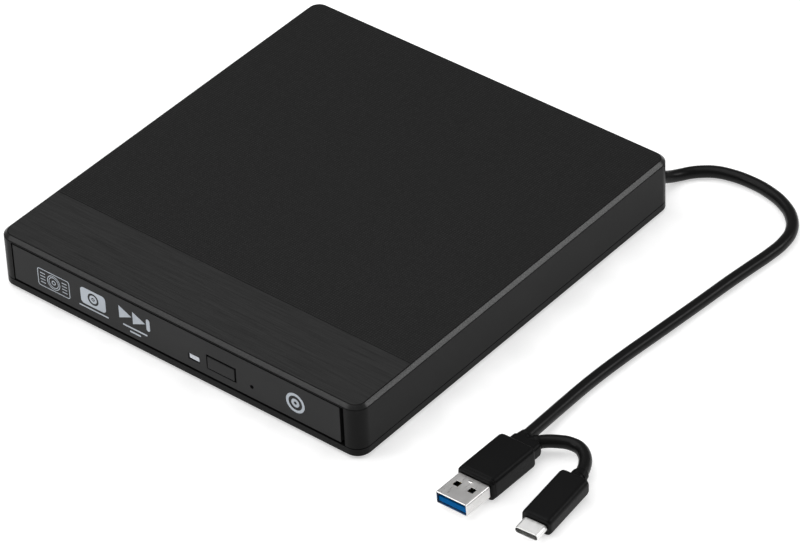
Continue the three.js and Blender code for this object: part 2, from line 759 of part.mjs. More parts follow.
function trayBezel() {
  const x0 = -openingHalf + gap;
  const x1 = openingHalf - bezelRightGap;
  const plate = block(x0, x1, bezelY0, bezelY1, lowerRimZ + bezelGap, openingTopZ - bezelGap);
  const buttonHole = bezelHole(buttonX, buttonZ, buttonWidth, buttonHeight, buttonGap);
  const ledHole = bezelHole(ledX, ledZ, ledWidth, ledHeight, gap);
  const r = releaseHoleRadius;
  const pinHole = bar(r, r, bezelY0 - over, bezelY1 + over, releaseHoleX, releaseHoleZ, 12);
  return cut(plate, buttonHole, ledHole, pinHole);
}

function ledLightPipe() {
  const halfX = ledWidth / 2;
  const halfZ = ledHeight / 2;
  return block(ledX - halfX, ledX + halfX, bezelY0 + ledRecess, trayFrontY + 1, ledZ - halfZ, ledZ + halfZ);
}

function trayCoverPlate() {
  const x0 = -skirtHalf + trayWall + gap;
  const y0 = trayFrontY + trayWall + gap;
  const y1 = trayRearY - trayWall - gap;
  const plate = block(x0, latchPivotX - 6, y0, y1, trayZ, trayZ + trayPlate);
  const corner = block(x0 - over, cornerX + 1 + gap, cornerY - gap, y1 + over, trayZ - over, trayZ + 2);
  return cut(plate, corner);
}

add(model, "disc_tray", discTray(), trayPlastic);
add(model, "tray_bezel", trayBezel(), bezelPlastic);
add(model, "led_light_pipe", ledLightPipe(), clearPlastic);
add(model, "tray_cover_plate", trayCoverPlate(), steelSheet);

function traverseFrame() {
  const outline = new THREE.Shape();
  outline.moveTo(-frameHalfWidth, frameFarY + frameChamfer);
  outline.lineTo(-frameHalfWidth + frameChamfer, frameFarY);
  outline.lineTo(frameHalfWidth - frameChamfer, frameFarY);
  outline.lineTo(frameHalfWidth, frameFarY + frameChamfer);
  outline.absarc(0, 0, frameHalfWidth, 0, Math.PI);
  outline.closePath();
  const ears = bushings.map((p) => post(bushingRadius + 1.2, mechanismZ, mechanismTopZ, p.x, p.y, 20));
  const frame = join(prism(outline, mechanismZ, mechanismTopZ, 12), ...ears);
  const runFarY = rodFarY - gap;
  const run = block(-frameInner, frameInner, runFarY, rodNearY, mechanismZ - over, mechanismTopZ + over);
  const motorHole = post(motorRadius + gap, mechanismZ - 1, mechanismTopZ + 1, 0, 0, 40);
  const earHoles = bushings.map((p) =>
    post(bushingRadius + gap, mechanismZ - 1, mechanismTopZ + 1, p.x, p.y, 20),
  );
  return cut(frame, run, motorHole, ...earHoles);
}

function traversePlate() {
  const plate = prism(windowOutline(0), smallRecessZ - trayPlate, smallRecessZ, 12);
  const hubHole = post(turntableRadius + 1, smallRecessZ - 2, smallRecessZ + 1, 0, 0, 40);
  const farY = -(pickupFarRadius + lensRadius + gap);
  const slot = block(-lensSlotHalf, lensSlotHalf, farY, -4, smallRecessZ - 2, smallRecessZ + 1);
  return cut(plate, hubHole, slot);
}

add(mechanism, "traverse_frame", traverseFrame(), darkSteel);
add(mechanism, "traverse_plate", traversePlate(), darkSteel);
const motor = post(motorRadius, mechanismZ, mechanismZ + motorHeight, 0, 0, 40);
add(mechanism, "spindle_motor", motor, steelSheet);

// Guide rod or motor of the pickup, along its run
function runBar(radius, y0, x, sides) {
  return bar(radius, radius, y0, rodNearY - gap, x, mechanismMidZ, sides);
}

const sledMotorY = rodNearY - gap - sledMotorLength;
add(mechanism, "guide_rod_left", runBar(rodRadius, rodFarY, leftRodX, 12), polishedSteel);
add(mechanism, "guide_rod_right", runBar(rodRadius, rodFarY, rightRodX, 12), polishedSteel);
add(mechanism, "sled_motor", runBar(sledMotorRadius, sledMotorY, screwX, 16), steelSheet);
bushings.forEach((place, index) => {
  const ring = cut(
    post(bushingRadius, mechanismZ, mechanismTopZ, place.x, place.y, 20),
    post(bushingPin + gap, mechanismZ - 1, mechanismTopZ + 1, place.x, place.y, 12),
  );
  add(mechanism, "damper_bushing_" + (index + 1), ring, rubber);
});

const boardY0 = hubY + frameHalfWidth + 2 * bushingRadius + 4;
const boardZ = mechanismZ + 0.5;
const trayBoard = block(cornerX + 4, latchPivotX - 9, boardY0, trayRearY - 4, boardZ, boardZ + 1);
const chipZ = boardZ + 1 + gap;
const trayChip = block(-9, 7, boardY0 + 8, boardY0 + 24, chipZ, chipZ + 1);
add(model, "tray_control_board", trayBoard, boardGreen);
add(model, "control_chip", trayChip, chipBlack);

function ejectSwitchBoard() {
  const y0 = trayFrontY + 4.6;
  const board = block(buttonX - 10, buttonX + 10, y0, y0 + 1, mechanismZ, mechanismTopZ);
  const key = block(buttonX - 3, buttonX + 3, y0 - 1.8, y0 + 0.2, mechanismZ + 0.4, mechanismTopZ - 0.2);
  return join(board, key);
}

add(model, "eject_switch_board", ejectSwitchBoard(), boardGreen);

const solenoidY = latchPivotY + 5.5;
const solenoidX = latchPivotX - 3.5;
const solenoid = block(solenoidX, solenoidX + 6.5, solenoidY, solenoidY + 13, mechanismZ, mechanismTopZ);
add(model, "latch_solenoid", solenoid, steelSheet);
const pivotPin = post(latchPivotRadius, mechanismZ, mechanismTopZ, latchPivotX, latchPivotY, 12);
add(model, "latch_pivot_pin", pivotPin, polishedSteel);

// ---------------------------------------------------------------- latch hook, drawn released
function latchHook() {
  const z0 = mechanismZ + 0.5;
  const z1 = mechanismTopZ - 0.5;
  const x = latchPivotX;
  const y = latchPivotY;
  const clawY = y - latchArm;
  const eye = post(latchPivotRadius + 1.5, z0, z1, x, y, 16);
  const arm = block(x - 1.1, x + 1.1, clawY, y, z0, z1);
  const claw = block(x - 1.1, x + 3.8, clawY - 0.4, clawY + 1.4, z0, z1);
  const lever = block(releaseHoleX - 1.2, x, clawY + 3, clawY + 4.4, z0, z1);
  const tail = block(x - 0.9, x + 0.9, y, y + 4.6, z0, z1);
  const hole = post(latchPivotRadius + gap, z0 - 1, z1 + 1, x, y, 12);
  return cut(join(eye, arm, claw, lever, tail), hole);
}

add(model, "latch_hook", latchHook(), darkSteel);

// ---------------------------------------------------------------- eject button
function ejectButton() {
  const halfX = buttonWidth / 2;
  const halfZ = buttonHeight / 2;
  const faceY1 = bezelY1 - 0.4;
  const face = block(buttonX - halfX, buttonX + halfX, frontY, faceY1, buttonZ - halfZ, buttonZ + halfZ);
  const stemY1 = trayFrontY + buttonStemDepth;
  const stemTopZ = platformZ - gap - 0.1;
  const stemHalf = halfX - 1;
  const stemZ = buttonZ - halfZ + 0.4;
  const stem = block(buttonX - stemHalf, buttonX + stemHalf, faceY1 - sink, stemY1, stemZ, stemTopZ);
  return join(face, stem);
}

add(model, "eject_button", ejectButton(), bezelPlastic);

// ---------------------------------------------------------------- disc hub
const rotorTopZ = smallRecessZ;
const tableZ = rotorTopZ + gap;
const tableTopZ = tableZ + 0.7;
const padZ = tableTopZ + gap;
const discRestZ = padZ + padHeight;

function turntable() {
  const top = discRestZ + 2.5;
  const profile = [
    [0, tableZ],
    [turntableRadius, tableZ],
    [turntableRadius, tableTopZ],
    [clampRadius, tableTopZ],
    [clampRadius, discRestZ + 1.2],
    [clampRadius - 0.9, top],
    [1.4, top],
    [1.4, top - 0.8],
    [0, top - 0.8],
  ].map(([r, z]) => new THREE.Vector2(r, z));
  const hub = new THREE.LatheGeometry(profile, 40).rotateX(Math.PI / 2);
  const claws = [0, 1, 2].map((i) => {
    const angle = (2 * Math.PI * i) / 3;
    const ball = new THREE.SphereGeometry(0.9, 10, 8);
    const out = clampRadius - 0.35;
    return ball.translate(out * Math.cos(angle), out * Math.sin(angle), discRestZ + 1.3);
  });
  return join(hub, ...claws);
}

function padRing() {
  const outer = post(turntableRadius - 0.2, padZ, discRestZ, 0, 0, 40);
  return cut(outer, post(clampRadius + 0.4, padZ - 1, discRestZ + 1, 0, 0, 40));
}

const rotor = post(rotorRadius, mechanismZ + motorHeight + gap, rotorTopZ, 0, 0, 40);
add(mechanism, "spindle_rotor", rotor, polishedSteel);
add(mechanism, "turntable", turntable(), trayPlastic);
add(mechanism, "turntable_pad", padRing(), rubber);

// ---------------------------------------------------------------- pickup and its lead screw
const sledZ0 = mechanismZ + 0.3;
const sledZ1 = mechanismTopZ - 0.3;

function pickupSled() {
  const y0 = pickupStartY - pickupFront;
  const y1 = pickupStartY + pickupBack;
  const left = leftRodX - rodRadius - 1.1;
  const right = rightRodX + rodRadius + sledRightWall;
  const body = block(left, right, y0, y1, sledZ0, sledZ1);
  const nutX = screwX - screwRadius - 0.4;
  const nutRise = 0.9;
  const nut = block(right - sink, nutX, y0 + 0.3, y0 + 3.6, mechanismMidZ - nutRise, mechanismMidZ + nutRise);
  const bores = [leftRodX, rightRodX].map((x) =>
    bar(rodRadius + gap, rodRadius + gap, y0 - 1, y1 + 1, x, mechanismMidZ, 12),
  );
  return cut(join(body, nut), ...bores);
}

function objectiveLens() {
  const z0 = sledZ1 + gap;
  const profile = [
    [0, z0],
    [lensRadius, z0],
    [lensRadius, z0 + 0.5],
    [lensRadius * 0.75, z0 + 0.7],
    [lensRadius * 0.4, z0 + 0.85],
    [0, z0 + 0.9],
  ].map(([r, z]) => new THREE.Vector2(r, z));
  return new THREE.LatheGeometry(profile, 20).rotateX(Math.PI / 2).translate(0, pickupStartY, 0);
}

function leadScrew() {
  const y0 = rodFarY;
  const y1 = sledMotorY - gap;
  return bar(screwRadius, screwRadius, y0, y1, screwX, mechanismMidZ, 12);
}

add(mechanism, "pickup_sled", pickupSled(), darkSteel);
add(mechanism, "objective_lens", objectiveLens(), lensGlass);
add(mechanism, "lead_screw", leadScrew(), polishedSteel);

// ---------------------------------------------------------------- grommet and lead
function leadGrommet() {
  const wallY = rearY - caseWall - gap;
  const left = leadX - grommetFlangeHalf;
  const right = leadX + grommetFlangeHalf;
  const flangeTopZ = leadExitHeight + grommetFlangeHalf - gap;
  const flange = block(left, right, wallY - grommetFlange, wallY, floorTopZ + gap, flangeTopZ);
  const neckY1 = rearY + gap;
  const neck = bar(grommetNeck, grommetNeck, wallY - sink, neckY1, leadX, leadExitHeight, 20);
  const bootEnd = leadDiameter / 2 + gap;
  const bootY0 = neckY1 - 0.05;
  const boot = bar(grommetOuter, bootEnd, bootY0, rearY + grommetReach, leadX, leadExitHeight, 20);
  return join(flange, neck, boot);
}

const leads = new THREE.Group();
leads.position.set(leadX, rearY, 0);
model.add(leads);

add(model, "lead_grommet", leadGrommet(), rubber);
add(leads, "usb_lead", tube(leadRoute, leadDiameter, 10), leadJacket);
add(leads, "branch_lead", tube(branchRoute, leadDiameter, 10), leadJacket);

// ---------------------------------------------------------------- USB-A plug
const usba = new THREE.Group();
usba.position.set(usbaPlace.x, usbaPlace.y, usbaShell.middle);
usba.rotation.set(0, usbaPlace.roll, usbaPlace.yaw);
leads.add(usba);

function usbaShellPiece() {
  const { width, height, length, wall } = usbaShell;
  const outer = block(-width / 2, width / 2, 0, length, -height / 2, height / 2);
  const high = height / 2 - wall;
  const hollow = block(-width / 2 + wall, width / 2 - wall, -over, length + over, -high, high);
  const windows = [-2.85, 2.85].map((x) => block(x - 1.1, x + 1.1, 5.4, 7.7, -height, height));
  return cut(outer, hollow, ...windows);
}

function usbaTonguePiece() {
  const { width, height, length, wall } = usbaShell;
  const half = width / 2 - wall - 0.25;
  const low = -height / 2 + wall + 0.25;
  return block(-half, half, 0.7, length, low, low + 1.9);
}

function usbaGripPiece() {
  const y0 = usbaShell.length + gap;
  const y1 = y0 + usbaGrip.length;
  const body = grip(usbaGrip.width, usbaGrip.height, y0, y1, usbaGrip.radius);
  const collarEnd = y1 + usbaCollar.length;
  const collar = grip(usbaCollar.width, usbaCollar.height, y1 - 1.5, collarEnd, 1.2);
  collar.translate(usbaCollar.x, 0, 0);
  const leadBoot = bar(2.6, leadDiameter / 2 + 0.2, collarEnd - 0.5, collarEnd + 1.2, usbaLeadX, 0, 16);
  const branchBoot = bar(2.45, leadDiameter / 2 + 0.2, -0.9, 0.9, 0, 0, 16);
  branchBoot.rotateZ(-branchTurn).translate(usbaBranchX, collarEnd, 0);
  return join(body, collar, leadBoot, branchBoot);
}

add(usba, "usb_a_shell", usbaShellPiece(), polishedSteel);
add(usba, "usb_a_tongue", usbaTonguePiece(), tongueBlue);
add(usba, "usb_a_grip", usbaGripPiece(), leadJacket);

// ---------------------------------------------------------------- USB-C plug
const usbc = new THREE.Group();
usbc.position.set(usbcPlace.x, usbcPlace.y, usbcShell.middle);
usbc.rotation.set(usbcPlace.pitch, usbcPlace.roll, usbcPlace.yaw);
leads.add(usbc);

function usbcTube(inset, y0, y1) {
  const halfX = usbcShell.width / 2 - inset;
  const halfZ = usbcShell.height / 2 - inset;
  const outline = roundedOutline(-halfX, halfX, -halfZ, halfZ, halfZ - 0.02);
  return prism(outline, -y1, -y0, 4).rotateX(Math.PI / 2);
}

function usbcGripPiece() {
  const y0 = usbcShell.length + gap;
  const y1 = y0 + usbcGrip.length;
  const body = grip(usbcGrip.width, usbcGrip.height, y0, y1, usbcGrip.radius);
  const boot = bar(2.8, leadDiameter / 2 + 0.3, y1 - 0.4, y1 + 2.0, 0, 0, 16);
  return join(body, boot);
}

const usbcOuter = usbcTube(0, 0, usbcShell.length);
const usbcHollow = usbcTube(usbcShell.wall, -1, usbcShell.length + 1);
add(usbc, "usb_c_shell", cut(usbcOuter, usbcHollow), polishedSteel);
const usbcInsert = usbcTube(usbcShell.wall + 0.2, usbcShell.length - 2.2, usbcShell.length);
add(usbc, "usb_c_insert", usbcInsert, chipBlack);
add(usbc, "usb_c_grip", usbcGripPiece(), leadJacket);

export default model;
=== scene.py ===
"""External optical drive on a pale floor. Metres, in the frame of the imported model: +X right, +Y to the
rear, +Z up, the front bezel faces -Y, and the drive stands on z = 0."""
import math

import bmesh
import bpy
from mathutils import Matrix, Vector


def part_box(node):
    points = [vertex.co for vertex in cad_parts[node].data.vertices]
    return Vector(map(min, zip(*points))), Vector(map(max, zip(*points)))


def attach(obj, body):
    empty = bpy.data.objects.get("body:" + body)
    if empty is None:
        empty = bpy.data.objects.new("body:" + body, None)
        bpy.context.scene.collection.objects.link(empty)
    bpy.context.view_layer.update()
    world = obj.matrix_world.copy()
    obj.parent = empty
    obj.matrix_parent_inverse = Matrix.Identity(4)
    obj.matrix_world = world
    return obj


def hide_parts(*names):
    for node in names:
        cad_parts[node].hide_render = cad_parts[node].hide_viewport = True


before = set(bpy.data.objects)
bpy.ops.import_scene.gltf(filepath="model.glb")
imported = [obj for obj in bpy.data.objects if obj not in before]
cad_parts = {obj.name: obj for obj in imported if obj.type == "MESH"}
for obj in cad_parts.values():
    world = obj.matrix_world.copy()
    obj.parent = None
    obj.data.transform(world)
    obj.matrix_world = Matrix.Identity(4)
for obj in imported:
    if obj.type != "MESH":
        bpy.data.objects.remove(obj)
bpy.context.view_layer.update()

MM = 0.001


# ---------------------------------------------------------------- camera
CAMERA_REACH = 20.0  # metres, how far the camera sees
AZIMUTH = math.radians(40.7258)  # from straight ahead of the bezel, round to the right
ELEVATION = math.radians(38.5133)
ROLL = math.radians(-2.6532)
TARGET = Vector((27.328, -2.591, 0.6)) * MM
DISTANCE = 1504.2 * MM
LENS = 213.4
SENSOR = 36.0


def add_camera():
    back = Vector((
        math.sin(AZIMUTH) * math.cos(ELEVATION),
        -math.cos(AZIMUTH) * math.cos(ELEVATION),
        math.sin(ELEVATION),
    ))
    right = Vector((math.cos(AZIMUTH), math.sin(AZIMUTH), 0.0))
    up = back.cross(right)
    turned_right = right * math.cos(ROLL) + up * math.sin(ROLL)
    turned_up = up * math.cos(ROLL) - right * math.sin(ROLL)
    data = bpy.data.cameras.new("camera")
    data.lens = LENS
    data.sensor_width = SENSOR
    data.clip_end = CAMERA_REACH
    camera = bpy.data.objects.new("camera", data)
    rotation = Matrix((turned_right, turned_up, back)).transposed()
    camera.matrix_world = Matrix.Translation(TARGET + back * DISTANCE) @ rotation.to_4x4()
    bpy.context.scene.collection.objects.link(camera)
    bpy.context.scene.camera = camera


add_camera()


# ---------------------------------------------------------------- materials
DOTS_PER_METRE = 1150.0
TONGUE_FRONT = -0.0805  # object Y, in metres, where the tongue of the USB-A plug is full blue
TONGUE_PAINTED_SHADE = -0.0765  # and where it is dark: painted shade from the plug's shell over the tongue


def link(tree, source, target):
    tree.links.new(source, target)


class Surface:
    """A principled material with its object coordinates at hand"""

    def __init__(self, name, roughness, metallic=0.0, specular=0.5):
        self.material = bpy.data.materials.new(name)
        self.material.use_nodes = True
        self.tree = self.material.node_tree
        self.shader = self.tree.nodes["Principled BSDF"]
        self.shader.inputs["Roughness"].default_value = roughness
        self.shader.inputs["Metallic"].default_value = metallic
        self.shader.inputs["Specular IOR Level"].default_value = specular
        self.coordinates = self.tree.nodes.new("ShaderNodeTexCoord").outputs["Object"]
        self.bumped = None

    def place(self, scale):
        """The object coordinates in metres, times a scale for each axis"""
        mapping = self.tree.nodes.new("ShaderNodeMapping")
        mapping.inputs["Scale"].default_value = scale
        link(self.tree, self.coordinates, mapping.inputs["Vector"])
        return mapping.outputs["Vector"]

    def noise(self, scale, detail=2.0, stretch=(1.0, 1.0, 1.0)):
        node = self.tree.nodes.new("ShaderNodeTexNoise")
        node.inputs["Scale"].default_value = scale
        node.inputs["Detail"].default_value = detail
        link(self.tree, self.place(stretch), node.inputs["Vector"])
        return node.outputs["Fac"]

    def cells(self, scale, randomness):
        node = self.tree.nodes.new("ShaderNodeTexVoronoi")
        node.inputs["Scale"].default_value = scale
        node.inputs["Randomness"].default_value = randomness
        link(self.tree, self.place((1.0, 1.0, 1.0)), node.inputs["Vector"])
        return node.outputs["Distance"]

    def spread(self, value, low, high, from_low=0.3, from_high=0.7):
        """A value between from_low and from_high, carried over to low and high"""
        node = self.tree.nodes.new("ShaderNodeMapRange")
        node.inputs["From Min"].default_value = from_low
        node.inputs["From Max"].default_value = from_high
        node.inputs["To Min"].default_value = low
        node.inputs["To Max"].default_value = high
        link(self.tree, value, node.inputs["Value"])
        return node.outputs["Result"]

    def colour(self, value, dark, light, from_low=0.3, from_high=0.7):
        ramp = self.tree.nodes.new("ShaderNodeValToRGB")
        ramp.color_ramp.elements[0].position = from_low
        ramp.color_ramp.elements[1].position = from_high
        ramp.color_ramp.elements[0].color = (*dark, 1.0)
        ramp.color_ramp.elements[1].color = (*light, 1.0)
        link(self.tree, value, ramp.inputs["Fac"])
        link(self.tree, ramp.outputs["Color"], self.shader.inputs["Base Color"])

    def roughness(self, value, low, high):
        link(self.tree, self.spread(value, low, high), self.shader.inputs["Roughness"])

    def bump(self, value, depth):
        """Adds relief of a depth in metres"""
        node = self.tree.nodes.new("ShaderNodeBump")
        node.inputs["Strength"].default_value = 1.0
        node.inputs["Distance"].default_value = depth
        link(self.tree, value, node.inputs["Height"])
        if self.bumped:
            link(self.tree, self.bumped, node.inputs["Normal"])
        self.bumped = node.outputs["Normal"]
        link(self.tree, self.bumped, self.shader.inputs["Normal"])


def moulded(name, tone, roughness, grain=2500.0, depth=0.00002, specular=0.35):
    """Moulded plastic: a fine grain and slow changes in tone"""
    surface = Surface(name, roughness, specular=specular)
    slow = surface.noise(60.0)
    surface.colour(slow, [c * 0.9 for c in tone], [c * 1.1 for c in tone])
    fine = surface.noise(grain, 3.0)
    surface.roughness(fine, roughness - 0.05, roughness + 0.05)
    surface.bump(fine, depth)
    return surface.material


def metal(name, tone, roughness, stretch=(1.0, 1.0, 1.0), scale=900.0, depth=0.000004):
    """Bare metal with a rolled or drawn grain"""
    surface = Surface(name, roughness, metallic=1.0)
    slow = surface.noise(120.0)
    surface.colour(slow, [c * 0.92 for c in tone], [min(1.0, c * 1.05) for c in tone])
    fine = surface.noise(scale, 3.0, stretch)
    surface.roughness(fine, roughness * 0.8, roughness * 1.25)
    surface.bump(fine, depth)
    return surface.material


def brushed_roof():
    """Fine lines that run across the drive"""
    surface = Surface("roof_brushed", 0.42, specular=0.22)
    lines = surface.noise(1.0, 4.0, (60.0, 4200.0, 60.0))
    surface.colour(lines, (0.0085,) * 3, (0.0250,) * 3)
    surface.roughness(lines, 0.34, 0.52)
    surface.bump(lines, 0.00004)
    return surface.material


def dotted_roof():
    """Close rows of small raised dots"""
    surface = Surface("roof_dotted", 0.5, specular=0.18)
    dots = surface.cells(DOTS_PER_METRE, 0.1)
    surface.colour(dots, (0.0300,) * 3, (0.0060,) * 3, 0.1, 0.55)
    surface.roughness(dots, 0.42, 0.55)
    surface.bump(surface.spread(dots, 1.0, 0.0, 0.1, 0.6), 0.00006)
    surface.bump(surface.noise(3500.0, 3.0), 0.00002)
    return surface.material


def circuit_board():
    """Green lacquer over tracks"""
    surface = Surface("circuit_board", 0.4)
    tracks = surface.noise(1.0, 1.0, (400.0, 90.0, 1.0))
    surface.colour(tracks, (0.004, 0.035, 0.016), (0.012, 0.075, 0.034), 0.45, 0.55)
    surface.bump(tracks, 0.00003)
    return surface.material


def tongue_with_painted_shade():
    """Blue plastic with painted shade: it turns dark behind the mouth of the plug, where the shell shades it
    """
    surface = Surface("tongue_blue", 0.5, specular=0.02)
    split = surface.tree.nodes.new("ShaderNodeSeparateXYZ")
    link(surface.tree, surface.coordinates, split.inputs["Vector"])
    # Painted shade: the blue darkens to near black along object Y, deeper into the plug's mouth
    depth = surface.spread(split.outputs["Y"], 0.0, 1.0, TONGUE_FRONT, TONGUE_PAINTED_SHADE)
    surface.colour(depth, (0.001, 0.110, 0.34), (0.001, 0.004, 0.010), 0.1, 1.0)
    surface.bump(surface.noise(2000.0, 3.0), 0.00001)
    return surface.material


def coated_lens():
    """Clear lens with a blue coating"""
    surface = Surface("lens", 0.05, specular=0.8)
    slow = surface.noise(500.0)
    surface.colour(slow, (0.05, 0.08, 0.19), (0.10, 0.15, 0.32))
    surface.shader.inputs["Coat Weight"].default_value = 1.0
    return surface.material


case_plastic = moulded("case_plastic", (0.0065, 0.0065, 0.0065), 0.34, specular=0.07)
# The chamfer's copy of the case plastic: its lighter colour is a painted highlight, along with a higher
# specular level
case_edge_painted_highlight = moulded("case_edge_painted_highlight", (0.0090, 0.0090, 0.0090), 0.32, 3000.0, 0.00001, 0.3)
bezel_plastic = moulded("bezel_plastic", (0.0120, 0.0120, 0.0122), 0.33, 3200.0, 0.00001, 0.13)
tray_plastic = moulded("tray_plastic", (0.0095, 0.0095, 0.0100), 0.5)
rubber = moulded("rubber", (0.010, 0.010, 0.010), 0.75, 1800.0, 0.00004, 0.25)
lead_jacket = moulded("lead_jacket", (0.0040, 0.0040, 0.0040), 0.34, 1500.0, 0.00001, 0.14)
plug_rubber = moulded("plug_rubber", (0.0038, 0.0038, 0.0040), 0.42, 1900.0, 0.00003, 0.09)
light_pipe = moulded("light_pipe", (0.62, 0.65, 0.70), 0.3, 900.0, 0.00001, 0.5)
silver_print = moulded("silver_print", (0.46, 0.50, 0.55), 0.42, 2500.0, 0.00001, 0.4)
chip_plastic = moulded("chip_plastic", (0.006, 0.006, 0.0065), 0.5, specular=0.12)
tongue_blue = tongue_with_painted_shade()
ribbon_film = moulded("ribbon_film", (0.30, 0.13, 0.02), 0.3, 700.0, 0.00001, 0.5)
steel_sheet = metal("steel_sheet", (0.50, 0.51, 0.52), 0.38)
dark_steel = metal("dark_steel", (0.12, 0.12, 0.125), 0.45)
polished_steel = metal("polished_steel", (0.72, 0.72, 0.73), 0.2)
plug_metal = metal("plug_metal", (0.75, 0.74, 0.73), 0.32, (1.0, 0.15, 1.0), 1500.0, 0.000003)
bright_metal = metal("bright_metal", (0.92, 0.92, 0.91), 0.42, (1.0, 0.15, 1.0), 1500.0, 0.000003)
contact_gold = metal("contact_gold", (0.83, 0.60, 0.25), 0.25)
roof_brushed = brushed_roof()
roof_dotted = dotted_roof()
board_green = circuit_board()
lens_glass = coated_lens()


# ---------------------------------------------------------------- mesh helpers
WELD_DISTANCE = 0.000002
FLAT_ANGLE = 0.3  # degrees, faces that turn less are one face
EDGE_ANGLE = 30.0  # degrees, edges that turn more are rounded


def put(mesh_or_curve, name, body, *materials):
    piece = bpy.data.objects.new(name, mesh_or_curve)
    for material in materials:
        piece.data.materials.append(material)
    bpy.context.scene.collection.objects.link(piece)
    if body:
        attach(piece, body)
    return piece


def finish_mesh(bm, name, sharp_angle=35.0):
    bmesh.ops.recalc_face_normals(bm, faces=bm.faces)
    mesh = bpy.data.meshes.new(name)
    bm.to_mesh(mesh)
    bm.free()
    for polygon in mesh.polygons:
        polygon.use_smooth = True
    mesh.set_sharp_from_angle(angle=math.radians(sharp_angle))
    return mesh


def weigh_normals(piece):
    modifier = piece.modifiers.new("normals", "WEIGHTED_NORMAL")
    modifier.keep_sharp = True


def stand_for(piece, node):
    """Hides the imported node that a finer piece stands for"""
    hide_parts(node)
    return piece


def arc(cx, cy, radius, start, end, segments):
    """Points on an arc, both ends included, angles in degrees"""
    points = []
    for i in range(segments + 1):
        angle = math.radians(start + (end - start) * i / segments)
        points.append((cx + radius * math.cos(angle), cy + radius * math.sin(angle)))
    return points


def rounded_rectangle(width, height, radius, segments, cx=0.0, cy=0.0):
    x = width / 2 - radius
    y = height / 2 - radius
    return (
        arc(cx + x, cy - y, radius, -90, 0, segments)
        + arc(cx + x, cy + y, radius, 0, 90, segments)
        + arc(cx - x, cy + y, radius, 90, 180, segments)
        + arc(cx - x, cy - y, radius, 180, 270, segments)
    )


def add_loop(bm, points):
    return [bm.verts.new(point) for point in points]


def bridge(bm, first, second):
    """Faces between two closed loops of the same length"""
    count = len(first)
    return [
        bm.faces.new((first[i], first[(i + 1) % count], second[(i + 1) % count], second[i]))
        for i in range(count)
    ]


def lofted(bm, sections, segments=6, cap_start=True, cap_end=True):
    """A bar along Y in millimetres: each section is y, width, height, corner radius, and x and z if not 0"""
    loops = []
    for y, width, height, radius, *place in sections:
        x, z = place or (0.0, 0.0)
        outline = rounded_rectangle(width, height, radius, segments, x, z)
        loops.append(add_loop(bm, [(px * MM, y * MM, pz * MM) for px, pz in outline]))
    for first, second in zip(loops, loops[1:]):
        bridge(bm, first, second)
    if cap_start:
        bm.faces.new(loops[0])
    if cap_end:
        bm.faces.new(loops[-1])
    return loops


def soften(piece, width):
    """Rounds the edges of a piece by a width in millimetres"""
    for polygon in piece.data.polygons:
        polygon.use_smooth = True
    weld = piece.modifiers.new("weld", "WELD")
    weld.merge_threshold = WELD_DISTANCE
    flat = piece.modifiers.new("flat", "DECIMATE")
    flat.decimate_type = "DISSOLVE"
    flat.angle_limit = math.radians(FLAT_ANGLE)
    bevel = piece.modifiers.new("bevel", "BEVEL")
    bevel.width = width * MM
    bevel.segments = 2
    bevel.limit_method = "ANGLE"
    bevel.angle_limit = math.radians(EDGE_ANGLE)
    weigh_normals(piece)


# ---------------------------------------------------------------- cords
LEAD_DIAMETER = 4.2 * MM
EXIT = (0.0660, 0.0790, 0.0054)

# Middle line of the lead, from the grommet to the USB-A plug, measured from where it leaves the case
LEAD_ROUTE = [
    (0.0000, 0.0041, 0.0054),
    (0.0001, 0.0054, 0.0051),
    (0.0005, 0.0076, 0.0040),
    (0.0011, 0.0100, 0.0031),
    (0.0022, 0.0130, 0.0024),
    (0.0040, 0.0160, 0.0022),
    (0.0064, 0.0184, 0.0022),
    (0.0100, 0.0209, 0.0022),
    (0.0148, 0.0225, 0.0022),
    (0.0222, 0.0233, 0.0022),
    (0.0308, 0.0224, 0.0022),
    (0.0382, 0.0198, 0.0022),
    (0.0437, 0.0160, 0.0022),
    (0.0479, 0.0101, 0.0022),
    (0.0494, 0.0034, 0.0022),
    (0.0493, -0.0035, 0.0022),
    (0.0483, -0.0129, 0.0022),
    (0.0473, -0.0223, 0.0022),
    (0.0461, -0.0366, 0.0022),
    (0.0444, -0.0553, 0.0022),
    (0.0427, -0.0738, 0.0022),
    (0.0420, -0.0880, 0.0023),
    (0.0424, -0.1039, 0.0029),
    (0.0430, -0.1121, 0.0036),
    (0.0437, -0.1223, 0.0044),
]

# Middle line of the branch, from the USB-A plug to the USB-C plug, measured in the same way
BRANCH_ROUTE = [
    (0.0479, -0.1229, 0.0046),
    (0.0489, -0.1213, 0.0045),
    (0.0504, -0.1197, 0.0044),
    (0.0518, -0.1186, 0.0043),
    (0.0533, -0.1176, 0.0042),
    (0.0549, -0.1168, 0.0042),
    (0.0567, -0.1163, 0.0041),
    (0.0586, -0.1162, 0.0041),
    (0.0605, -0.1167, 0.0041),
    (0.0622, -0.1177, 0.0041),
    (0.0637, -0.1190, 0.0041),
    (0.0649, -0.1205, 0.0041),
    (0.0658, -0.1220, 0.0041),
    (0.0665, -0.1235, 0.0041),
    (0.0670, -0.1250, 0.0041),
    (0.0675, -0.1268, 0.0042),
]


def lead(name, route, replaced):
    curve = bpy.data.curves.new(name, "CURVE")
    curve.dimensions = "3D"
    curve.bevel_depth = LEAD_DIAMETER / 2
    curve.bevel_resolution = 6
    curve.resolution_u = 10
    curve.use_fill_caps = True
    spline = curve.splines.new("BEZIER")
    spline.bezier_points.add(len(route) - 1)
    for point, (x, y, z) in zip(spline.bezier_points, route):
        point.co = (EXIT[0] + x, EXIT[1] + y, z)
        point.handle_left_type = "AUTO"
        point.handle_right_type = "AUTO"
    piece = put(curve, name, "enclosure", lead_jacket)
    return stand_for(piece, replaced)


# ---------------------------------------------------------------- floor and light
FLOOR_GLOW = 0.5  # lifts the paper to white, with light shadows
FLOOR_HALF = 2.5
LIT_POINT = Vector((0.03, 0.0, 0.0))  # between the case and its lead


